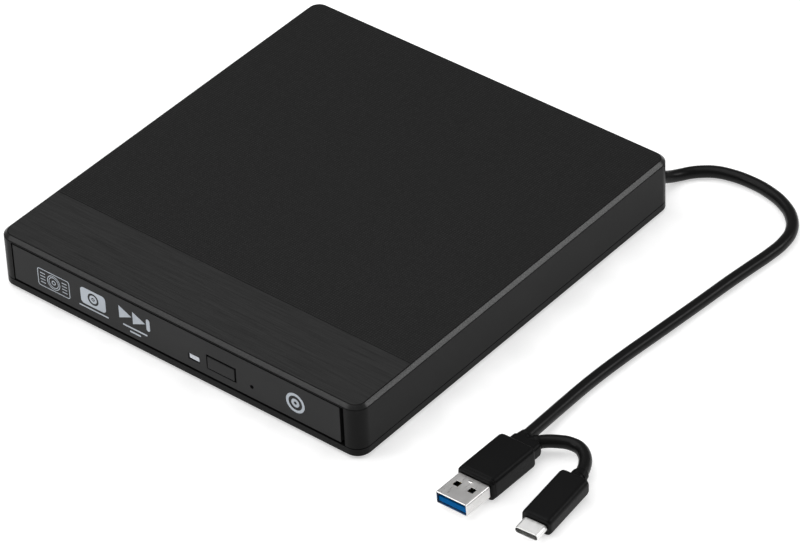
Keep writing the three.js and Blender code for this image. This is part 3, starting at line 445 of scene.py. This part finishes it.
def add_floor():
    bm = bmesh.new()
    bmesh.ops.create_grid(bm, x_segments=1, y_segments=1, size=FLOOR_HALF)
    paper = moulded("floor", (0.8, 0.8, 0.8), 0.9, 300.0, 0.0, 0.2)
    shader = paper.node_tree.nodes["Principled BSDF"]
    shader.inputs["Emission Color"].default_value = (1.0, 1.0, 1.0, 1.0)
    shader.inputs["Emission Strength"].default_value = FLOOR_GLOW
    put(finish_mesh(bm, "floor"), "floor", None, paper)


def add_softbox(name, direction, distance, size, power):
    """An area light that looks at the drive from a direction"""
    data = bpy.data.lights.new(name, "AREA")
    data.shape = "RECTANGLE"
    data.size, data.size_y = size
    data.energy = power
    light = bpy.data.objects.new(name, data)
    towards = Vector(direction).normalized()
    light.location = LIT_POINT + towards * distance
    light.rotation_euler = towards.to_track_quat("Z", "Y").to_euler()
    bpy.context.scene.collection.objects.link(light)


def add_light():
    world = bpy.data.worlds.new("studio")
    world.use_nodes = True
    background = world.node_tree.nodes["Background"]
    background.inputs["Color"].default_value = (1.0, 1.0, 1.0, 1.0)
    background.inputs["Strength"].default_value = 0.3
    bpy.context.scene.world = world
    add_softbox("top_light", (-0.30, -0.10, 1.0), 1.3, (1.5, 1.5), 12.0)
    add_softbox("right_light", (0.622, 0.593, 0.51), 1.5, (0.5, 0.4), 5.0)
    add_softbox("front_light", (-0.51, -0.622, 0.593), 1.5, (0.5, 0.4), 2.0)
    bpy.context.scene.view_settings.view_transform = "Standard"


add_floor()
add_light()

usb_lead = lead("usb_lead_cord", LEAD_ROUTE, "usb_lead")
branch_lead = lead("branch_lead_cord", BRANCH_ROUTE, "branch_lead")


# ---------------------------------------------------------------- top cover
def boolean_cut(piece, cutter_mesh):
    """Cuts a mesh out of a piece for good"""
    cutter = bpy.data.objects.new("cutter", cutter_mesh)
    bpy.context.scene.collection.objects.link(cutter)
    modifier = piece.modifiers.new("cut", "BOOLEAN")
    modifier.object = cutter
    modifier.solver = "EXACT"
    depsgraph = bpy.context.evaluated_depsgraph_get()
    mesh = bpy.data.meshes.new_from_object(piece.evaluated_get(depsgraph))
    piece.modifiers.remove(modifier)
    old = piece.data
    piece.data = mesh
    bpy.data.meshes.remove(old)
    bpy.data.objects.remove(cutter)


cover_low, cover_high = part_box("top_cover")
CASE_X = cover_high.x / MM
CASE_Y = cover_high.y / MM
CASE_TOP = cover_high.z / MM
RIM_Z = cover_low.z / MM
CORNER = 5.0
CORNER_SEGMENTS = 14
WALL = 1.8
ROOF = 1.6
CHAMFER = 1.4
EDGE = 0.22  # rounding of the edges
MOUTH_X = CASE_X - 5.9  # half the width of the opening for the tray
MOUTH_TOP = CASE_TOP - 1.7
ZONE_Y = -51.8  # where the brushed front of the roof meets the dotted rear
ZONE_STEP = 0.12
ZONE_RAMP = 0.08
CHAMFER_LEVEL = 4  # which band of the cover is its chamfer
SIDE_SLOT, FRONT_SLOT, REAR_SLOT, CHAMFER_HIGHLIGHT_SLOT = range(4)  # the cover's material slots
NOTCH_X = 66.0  # where the lead leaves
NOTCH_Z = 5.4
NOTCH_RADIUS = 3.2
NOTCH_HEIGHT = 9.0


def cover_outline(inset, z, step=0.0):
    """Loop of the cover: the mouth's two ends, then round by the right, the rear and the left"""
    radius = CORNER - inset
    x = CASE_X - CORNER
    y = CASE_Y - CORNER
    right = CASE_X - inset
    outline = [(-MOUTH_X, -CASE_Y + inset), (MOUTH_X, -CASE_Y + inset)]
    outline += arc(x, -y, radius, -90, 0, CORNER_SEGMENTS)
    outline += [(right, ZONE_Y - ZONE_RAMP), (right, ZONE_Y + ZONE_RAMP)]
    outline += arc(x, y, radius, 0, 90, CORNER_SEGMENTS)
    outline += arc(-x, y, radius, 90, 180, CORNER_SEGMENTS)
    outline += [(-right, ZONE_Y + ZONE_RAMP), (-right, ZONE_Y - ZONE_RAMP)]
    outline += arc(-x, -y, radius, 180, 270, CORNER_SEGMENTS)
    return [
        (px * MM, py * MM, (z - (step if py < ZONE_Y else 0.0)) * MM)
        for px, py in outline
    ]


def wall_faces(bm, first, second, open_mouth, slot=SIDE_SLOT):
    """Faces between two loops of the cover, left open between the mouth's ends where open_mouth says"""
    count = len(first)
    for i in range(1 if open_mouth else 0, count):
        j = (i + 1) % count
        face = bm.faces.new((first[i], first[j], second[j], second[i]))
        face.material_index = slot


def cover_walls(bm):
    """Outer and inner walls with the mouth in front. Returns the topmost loop of each"""
    chamfer_z = CASE_TOP - CHAMFER
    outer_sections = [
        (0.0, RIM_Z, 0.0),
        (0.0, MOUTH_TOP, 0.0),
        (0.0, chamfer_z - EDGE, 0.0),
        (EDGE * 0.15, chamfer_z - EDGE * 0.1, 0.0),
        (EDGE * 0.7, chamfer_z + EDGE * 0.7, 0.0),
        (CHAMFER - EDGE * 0.7, CASE_TOP - EDGE * 0.7, ZONE_STEP * 0.5),
        (CHAMFER + EDGE * 0.1, CASE_TOP - EDGE * 0.15, ZONE_STEP),
        (CHAMFER + EDGE, CASE_TOP, ZONE_STEP),
    ]
    inner_sections = [
        (WALL, RIM_Z, 0.0),
        (WALL, MOUTH_TOP, 0.0),
        (WALL, CASE_TOP - ROOF, 0.0),
    ]
    outer = [add_loop(bm, cover_outline(*section)) for section in outer_sections]
    inner = [add_loop(bm, cover_outline(*section)) for section in inner_sections]
    for level, (first, second) in enumerate(zip(outer, outer[1:])):
        # The chamfer band takes the lighter copy of the case plastic, a painted highlight
        slot = CHAMFER_HIGHLIGHT_SLOT if level == CHAMFER_LEVEL else SIDE_SLOT
        wall_faces(bm, first, second, level == 0, slot)
    for level, (first, second) in enumerate(zip(inner, inner[1:])):
        wall_faces(bm, first, second, level == 0)
    wall_faces(bm, outer[0], inner[0], True)
    for end in (0, 1):
        bm.faces.new((outer[0][end], outer[1][end], inner[1][end], inner[0][end]))
    bm.faces.new((outer[1][0], outer[1][1], inner[1][1], inner[1][0]))
    return outer[-1], inner[-1]


def cover_roof(bm, top):
    """The brushed front, the dotted rear and the low ramp between them"""
    per_corner = CORNER_SEGMENTS + 1
    right_front = 2 + per_corner
    left_rear = right_front + 2 + 2 * per_corner
    front = bm.faces.new(top[: right_front + 1] + top[left_rear + 1 :])
    rear = bm.faces.new(top[right_front + 1 : left_rear + 1])
    ramp = bm.faces.new((top[right_front], top[right_front + 1], top[left_rear], top[left_rear + 1]))
    front.material_index = FRONT_SLOT
    rear.material_index = REAR_SLOT
    ramp.material_index = SIDE_SLOT


def cut_notch(piece):
    """Cuts the notch in the rear wall that the grommet sits in"""
    notch = bmesh.new()
    notch_z = NOTCH_Z + NOTCH_RADIUS - NOTCH_HEIGHT / 2
    section = (2 * NOTCH_RADIUS, NOTCH_HEIGHT, NOTCH_RADIUS - 0.01, NOTCH_X, notch_z)
    lofted(notch, [(CASE_Y - WALL - 1, *section), (CASE_Y + 1, *section)], 10)
    boolean_cut(piece, finish_mesh(notch, "cutter"))


def top_cover():
    bm = bmesh.new()
    top, ceiling = cover_walls(bm)
    cover_roof(bm, top)
    bm.faces.new(ceiling)
    mesh = finish_mesh(bm, "top_cover_shell", 25.0)
    materials = (case_plastic, roof_brushed, roof_dotted, case_edge_painted_highlight)
    piece = put(mesh, "top_cover_shell", "enclosure", *materials)
    cut_notch(piece)
    weigh_normals(piece)
    stand_for(piece, "top_cover")


top_cover()


# ---------------------------------------------------------------- printed marks on the bezel
bezel_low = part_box("tray_bezel")[0]
PRINT_THICKNESS = 0.03
DISC_FRAME_AT = (-50.8, 10.6)  # middles of the marks, in X and Z
PANEL_AT = (-34.0, 11.9)
ARROWS_AT = (-16.7, 12.6)
DISC_AT = (48.7, 11.2)


def ring(cx, cz, outer, inner, segments=40):
    return [arc(cx, cz, r, 0, 360 - 360 / segments, segments - 1) for r in (outer, inner)]


def printed(name, loops):
    """A flat print on the front face of the bezel from closed outlines in X and Z, holes among them"""
    curve = bpy.data.curves.new(name, "CURVE")
    curve.dimensions = "2D"
    curve.fill_mode = "BOTH"
    curve.extrude = PRINT_THICKNESS / 2 * MM
    for loop in loops:
        spline = curve.splines.new("POLY")
        spline.points.add(len(loop) - 1)
        for point, (x, z) in zip(spline.points, loop):
            point.co = (x * MM, z * MM, 0.0, 1.0)
        spline.use_cyclic_u = True
    drawn = bpy.data.objects.new(name, curve)
    bpy.context.scene.collection.objects.link(drawn)
    mesh = bpy.data.meshes.new_from_object(drawn)
    bpy.data.objects.remove(drawn)
    face_y = bezel_low.y - PRINT_THICKNESS / 2 * MM
    mesh.transform(Matrix.Translation((0.0, face_y, 0.0)) @ Matrix.Rotation(math.pi / 2, 4, "X"))
    mesh.materials.clear()
    piece = put(mesh, name, "tray", silver_print)


def line_box(cx, cz, width, height, radius, line):
    return [
        rounded_rectangle(width, height, radius, 6, cx, cz),
        rounded_rectangle(width - 2 * line, height - 2 * line, radius - line, 6, cx, cz),
    ]


def stroke(cx, cz, width, height):
    return [rounded_rectangle(width, height, min(width, height) / 2 - 0.001, 4, cx, cz)]


def triangle(x0, x1, cz, height):
    return [[(x0, cz - height / 2), (x1, cz), (x0, cz + height / 2)]]


def disc_frame_mark(x, z):
    """A disc in a thin frame, with short lines on both sides"""
    loops = line_box(x, z, 13.6, 7.0, 1.0, 0.28)
    loops += ring(x, z, 2.75, 2.5) + ring(x, z, 2.1, 1.85) + ring(x, z, 0.85, 0.55, 24)
    for side in (-1, 1):
        for level in (-1.8, -0.6, 0.6, 1.8):
            loops += stroke(x + side * 4.6, z + level, 2.2, 0.3)
    return loops


def panel_mark(x, z):
    """A solid panel with a disc cut out of it, over a thin line"""
    loops = [rounded_rectangle(10.5, 6.4, 1.4, 6, x, z)]
    loops += ring(x, z, 2.3, 1.55) + ring(x, z, 0.7, 0.3, 20)
    return loops + stroke(x, z - 4.4, 12.4, 0.5)


def forward_mark(x, z):
    """Two forward arrows and a stop line, over two thin lines"""
    loops = triangle(x - 6.4, x - 1.2, z, 4.9) + triangle(x - 0.7, x + 4.5, z, 4.9)
    loops += stroke(x + 5.7, z, 1.5, 4.8)
    return loops + stroke(x, z - 4.4, 10.2, 0.6) + stroke(x, z - 6.0, 4.6, 0.6)


def disc_mark(x, z):
    """A plain disc"""
    return ring(x, z, 3.7, 2.7) + ring(x, z, 1.6, 0.6, 24)


printed("mark_disc_frame", disc_frame_mark(*DISC_FRAME_AT))
printed("mark_panel", panel_mark(*PANEL_AT))
printed("mark_forward", forward_mark(*ARROWS_AT))
printed("mark_disc", disc_mark(*DISC_AT))


# ---------------------------------------------------------------- USB-A plug
# A plug's own frame has its mouth at y = 0 and its middle line at x = 0, z = 0. Its turns are in radians.
GRIP_GAP = 0.3  # between a plug's metal shell and its grip

A_AT = Vector((110.8, -81.0, 4.5))
A_ROLL = -0.045
A_YAW = -0.018
A_WIDTH = 12.0
A_HEIGHT = 4.5
A_WALL = 0.35
A_LENGTH = 11.0
A_WINDOW_X = 2.85
A_WINDOW_Y = 6.55
A_WINDOW_SIZE = (2.2, 2.3, 1.2)
A_DIMPLE_Y = 9.4
A_CONTACTS_X = (-3.5, -1.0, 1.0, 3.5)
A_TONGUE_TOP = 0.25
A_GRIP_WIDTH = 13.8
A_GRIP_HEIGHT = 7.8
A_GRIP_LENGTH = 20.6
A_COLLAR_WIDTH = 10.6
A_COLLAR_HEIGHT = 5.0
A_COLLAR_LENGTH = 4.2
A_COLLAR_X = 0.8
LEAD_OUT_X = -1.8  # where the lead and its branch leave the collar
BRANCH_OUT_X = 1.8
BRANCH_TURN = 0.52

USB_A = Matrix.Translation(A_AT * MM) @ Matrix.Rotation(A_ROLL, 4, "Y") @ Matrix.Rotation(A_YAW, 4, "Z")


def usb_a_windows():
    """Boxes that cut the two windows out of both broad faces"""
    bm = bmesh.new()
    size = Matrix.Diagonal((*[side * MM for side in A_WINDOW_SIZE], 1.0))
    for x in (-A_WINDOW_X, A_WINDOW_X):
        for face in (-1, 1):
            middle = Vector((x, A_WINDOW_Y, face * A_HEIGHT / 2)) * MM
            bmesh.ops.create_cube(bm, size=1.0, matrix=Matrix.Translation(middle) @ size)
    return finish_mesh(bm, "cutter")


def usb_a_shell():
    bm = bmesh.new()
    bore_width = A_WIDTH - 2 * A_WALL
    bore_height = A_HEIGHT - 2 * A_WALL
    outer = lofted(bm, [
        (0.12, A_WIDTH - 0.2, A_HEIGHT - 0.2, 0.5),
        (0.25, A_WIDTH, A_HEIGHT, 0.6),
        (A_LENGTH, A_WIDTH, A_HEIGHT, 0.6),
    ], 5, False, False)
    inner = lofted(bm, [
        (0.12, bore_width + 0.05, bore_height + 0.05, 0.3),
        (0.4, bore_width, bore_height, 0.28),
        (A_LENGTH, bore_width, bore_height, 0.28),
    ], 5, False, False)
    bridge(bm, outer[0], inner[0])
    bridge(bm, outer[-1], inner[-1])
    mesh = finish_mesh(bm, "usb_a_shell_tube")
    piece = put(mesh, "usb_a_shell_tube", "enclosure", plug_metal)
    boolean_cut(piece, usb_a_windows())
    piece.data.transform(USB_A)
    weigh_normals(piece)
    return stand_for(piece, "usb_a_shell")


def usb_a_dimple():
    """The small raised spring dimple behind the windows"""
    bm = bmesh.new()
    foot_z = A_HEIGHT / 2 - 0.02
    rows = [(1.9, 0.9, 0.0), (1.7, 0.7, 0.10), (1.3, 0.4, 0.16)]
    loops = [
        add_loop(bm, [
            (px * MM, (A_DIMPLE_Y + py) * MM, (foot_z + rise) * MM)
            for px, py in rounded_rectangle(width, height, height / 2 - 0.01, 6)
        ])
        for width, height, rise in rows
    ]
    for first, second in zip(loops, loops[1:]):
        bridge(bm, first, second)
    bm.faces.new(loops[0])
    bm.faces.new(loops[-1])
    mesh = finish_mesh(bm, "usb_a_dimple")
    mesh.transform(USB_A)
    piece = put(mesh, "usb_a_dimple", "enclosure", plug_metal)
    return piece


def usb_a_contacts():
    """Flat gold contacts along the top of the tongue"""
    bm = bmesh.new()
    for x in A_CONTACTS_X:
        lofted(bm, [
            (1.4, 1.0, 0.08, 0.03, x, A_TONGUE_TOP + 0.05),
            (1.8, 1.0, 0.16, 0.05, x, A_TONGUE_TOP + 0.09),
            (9.0, 1.0, 0.16, 0.05, x, A_TONGUE_TOP + 0.09),
        ], 2)
    mesh = finish_mesh(bm, "usb_a_contacts")
    mesh.transform(USB_A)
    piece = put(mesh, "usb_a_contacts", "enclosure", contact_gold)
    return piece


def usb_a_grip_box(bm, y0, y1):
    """The grip itself, with a groove round its front"""
    width = A_GRIP_WIDTH
    height = A_GRIP_HEIGHT
    lofted(bm, [
        (y0, width - 1.5, height - 1.5, 1.2),
        (y0 + 0.12, width - 0.7, height - 0.7, 1.5),
        (y0 + 0.45, width - 0.2, height - 0.2, 1.65),
        (y0 + 1.05, width - 0.1, height - 0.1, 1.65),
        (y0 + 1.2, width - 0.4, height - 0.35, 1.6),
        (y0 + 1.4, width - 0.4, height - 0.35, 1.6),
        (y0 + 1.6, width - 0.05, height - 0.05, 1.7),
        (y0 + 2.2, width, height, 1.7),
        (y1 - 1.2, width, height, 1.7),
        (y1 - 0.5, width - 0.3, height - 0.3, 1.7),
        (y1 - 0.12, width - 1.0, height - 0.9, 1.6),
        (y1, width - 1.8, height - 1.6, 1.4),
    ])


def usb_a_collar(bm, start, end):
    """The collar that both leads come out of"""
    width = A_COLLAR_WIDTH
    height = A_COLLAR_HEIGHT
    lofted(bm, [
        (start - 1.0, width, height, 1.3, A_COLLAR_X, 0),
        (end - 1.2, width - 0.2, height, 1.3, A_COLLAR_X, 0),
        (end - 0.4, width - 1.0, height - 0.3, 1.5, A_COLLAR_X + 0.1, 0),
        (end, width - 2.0, height - 0.7, 1.6, A_COLLAR_X + 0.1, 0),
    ])


def usb_a_lead_boot(bm, start):
    """The ringed boot round the lead"""
    x = LEAD_OUT_X
    lofted(bm, [
        (start - 0.9, 5.2, 5.0, 2.4, x, 0),
        (start + 0.7, 5.1, 5.0, 2.4, x, 0),
        (start + 0.9, 4.7, 4.7, 2.3, x, 0),
        (start + 1.3, 4.7, 4.7, 2.3, x, 0),
        (start + 1.5, 4.9, 4.9, 2.4, x, 0),
        (start + 2.3, 4.6, 4.6, 2.25, x, 0),
    ])


def usb_a_branch_boot(bm, start):
    """The ringed boot round the branch, turned towards the USB-C plug"""
    loops = lofted(bm, [
        (-0.9, 4.9, 4.9, 2.4),
        (0.5, 4.9, 4.9, 2.4),
        (0.65, 4.6, 4.6, 2.25),
        (1.0, 4.6, 4.6, 2.25),
        (1.15, 4.8, 4.8, 2.35),
        (1.6, 4.8, 4.8, 2.35),
        (1.75, 4.55, 4.55, 2.2),
        (2.5, 4.5, 4.5, 2.2),
    ])
    place = Matrix.Translation(Vector((BRANCH_OUT_X, start, 0.0)) * MM)
    turned = place @ Matrix.Rotation(-BRANCH_TURN, 4, "Z")
    bmesh.ops.transform(bm, matrix=turned, verts=[vert for loop in loops for vert in loop])


def usb_a_grip():
    bm = bmesh.new()
    y0 = A_LENGTH + GRIP_GAP
    y1 = y0 + A_GRIP_LENGTH
    collar_end = y1 + A_COLLAR_LENGTH
    usb_a_grip_box(bm, y0, y1)
    usb_a_collar(bm, y1, collar_end)
    usb_a_lead_boot(bm, collar_end)
    usb_a_branch_boot(bm, collar_end)
    mesh = finish_mesh(bm, "usb_a_grip_body")
    mesh.transform(USB_A)
    piece = put(mesh, "usb_a_grip_body", "enclosure", plug_rubber)
    weigh_normals(piece)
    return stand_for(piece, "usb_a_grip")


# ---------------------------------------------------------------- USB-C plug
C_AT = Vector((136.1, -77.15, 3.3))
C_PITCH = 0.03
C_ROLL = 0.033
C_YAW = 0.086
C_WIDTH = 8.3
C_HEIGHT = 2.5
C_WALL = 0.3
C_LENGTH = 5.0
C_GRIP_WIDTH = 10.4
C_GRIP_HEIGHT = 6.3
C_GRIP_LENGTH = 21.8

USB_C = (
    Matrix.Translation(C_AT * MM)
    @ Matrix.Rotation(C_PITCH, 4, "X")
    @ Matrix.Rotation(C_ROLL, 4, "Y")
    @ Matrix.Rotation(C_YAW, 4, "Z")
)


def usb_c_shell():
    bm = bmesh.new()
    bore_width = C_WIDTH - 2 * C_WALL
    bore_height = C_HEIGHT - 2 * C_WALL
    outer = lofted(bm, [
        (0.0, C_WIDTH - 0.25, C_HEIGHT - 0.25, 1.1),
        (0.15, C_WIDTH, C_HEIGHT, 1.24),
        (C_LENGTH, C_WIDTH, C_HEIGHT, 1.24),
    ], 8, False, False)
    inner = lofted(bm, [
        (0.0, bore_width + 0.1, bore_height + 0.1, 0.99),
        (0.2, bore_width, bore_height, 0.94),
        (C_LENGTH, bore_width, bore_height, 0.94),
    ], 8, False, False)
    bridge(bm, outer[0], inner[0])
    bridge(bm, outer[-1], inner[-1])
    mesh = finish_mesh(bm, "usb_c_shell_tube")
    mesh.transform(USB_C)
    piece = put(mesh, "usb_c_shell_tube", "enclosure", bright_metal)
    weigh_normals(piece)
    return stand_for(piece, "usb_c_shell")


def usb_c_grip_box(bm, y0, y1):
    width = C_GRIP_WIDTH
    height = C_GRIP_HEIGHT
    lofted(bm, [
        (y0, width - 1.2, height - 1.3, 1.4),
        (y0 + 0.1, width - 0.6, height - 0.6, 1.6),
        (y0 + 0.4, width - 0.2, height - 0.15, 1.75),
        (y0 + 1.2, width, height, 1.8),
        (y1 - 1.2, width, height, 1.8),
        (y1 - 0.4, width - 0.3, height - 0.3, 1.8),
        (y1 - 0.1, width - 1.0, height - 0.8, 1.7),
        (y1, width - 1.8, height - 1.3, 1.5),
    ])


def usb_c_boot(bm, start):
    """The ringed boot round the branch"""
    lofted(bm, [
        (start - 0.4, 5.4, 5.0, 2.3),
        (start + 0.7, 5.4, 5.0, 2.3),
        (start + 0.9, 4.9, 4.8, 2.3),
        (start + 1.4, 4.9, 4.8, 2.3),
        (start + 1.6, 5.4, 5.1, 2.4),
        (start + 2.6, 5.3, 5.0, 2.4),
        (start + 2.8, 4.8, 4.8, 2.3),
        (start + 3.9, 4.6, 4.6, 2.25),
    ])


def usb_c_grip():
    bm = bmesh.new()
    y0 = C_LENGTH + GRIP_GAP
    y1 = y0 + C_GRIP_LENGTH
    usb_c_grip_box(bm, y0, y1)
    usb_c_boot(bm, y1)
    mesh = finish_mesh(bm, "usb_c_grip_body")
    mesh.transform(USB_C)
    piece = put(mesh, "usb_c_grip_body", "enclosure", plug_rubber)
    weigh_normals(piece)
    return stand_for(piece, "usb_c_grip")


a_shell = usb_a_shell()
a_dimple = usb_a_dimple()
a_contacts = usb_a_contacts()
a_grip = usb_a_grip()
c_shell = usb_c_shell()
c_grip = usb_c_grip()


# ---------------------------------------------------------------- carried-over nodes
# The nodes that finer pieces stand for are hidden, and have their materials here too
NODE_MATERIALS = {
    case_plastic: ["top_cover", "bottom_cover"],
    bezel_plastic: ["tray_bezel", "eject_button"],
    tray_plastic: ["disc_tray", "turntable"],
    light_pipe: ["led_light_pipe"],
    rubber: [
        "foot_front_left", "foot_front_right", "foot_rear_left", "foot_rear_right", "turntable_pad",
        "damper_bushing_1", "damper_bushing_2", "damper_bushing_3", "lead_grommet",
    ],
    steel_sheet: [
        "drive_chassis", "drive_top_plate", "tray_cover_plate", "spindle_motor", "sled_motor",
        "latch_solenoid",
    ],
    dark_steel: [
        "traverse_frame", "traverse_plate", "pickup_sled", "latch_hook", "drive_screw_left",
        "drive_screw_right", "case_screw_front_left", "case_screw_front_right", "case_screw_rear_left",
        "case_screw_rear_right",
    ],
    polished_steel: [
        "slide_rail_left", "slide_rail_right", "guide_rod_left", "guide_rod_right", "spindle_rotor",
        "lead_screw", "latch_post", "latch_pivot_pin",
    ],
    plug_metal: ["usb_a_shell", "usb_c_shell"],
    board_green: ["connector_board", "bridge_board", "tray_control_board", "eject_switch_board"],
    chip_plastic: ["drive_sata_plug", "bridge_sata_socket", "bridge_chip", "control_chip", "usb_c_insert"],
    ribbon_film: ["flex_ribbon"],
    lens_glass: ["objective_lens"],
    tongue_blue: ["usb_a_tongue"],
    lead_jacket: ["usb_lead", "branch_lead", "inner_lead"],
    plug_rubber: ["usb_a_grip", "usb_c_grip"],
}

# How wide the rounding of each node's edges is, in millimetres
EDGE_WIDTHS = {
    "bottom_cover": 0.2, "tray_bezel": 0.12, "eject_button": 0.2, "disc_tray": 0.15, "turntable": 0.1,
    "led_light_pipe": 0.1, "lead_grommet": 0.25, "drive_chassis": 0.1, "traverse_plate": 0.1,
    "usb_a_tongue": 0.15, "usb_c_insert": 0.1,
}

for material, names in NODE_MATERIALS.items():
    for name in names:
        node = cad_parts[name]
        node.data.materials.clear()
        node.data.materials.append(material)
        for polygon in node.data.polygons:
            polygon.material_index = 0

for name, width in EDGE_WIDTHS.items():
    soften(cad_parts[name], width)
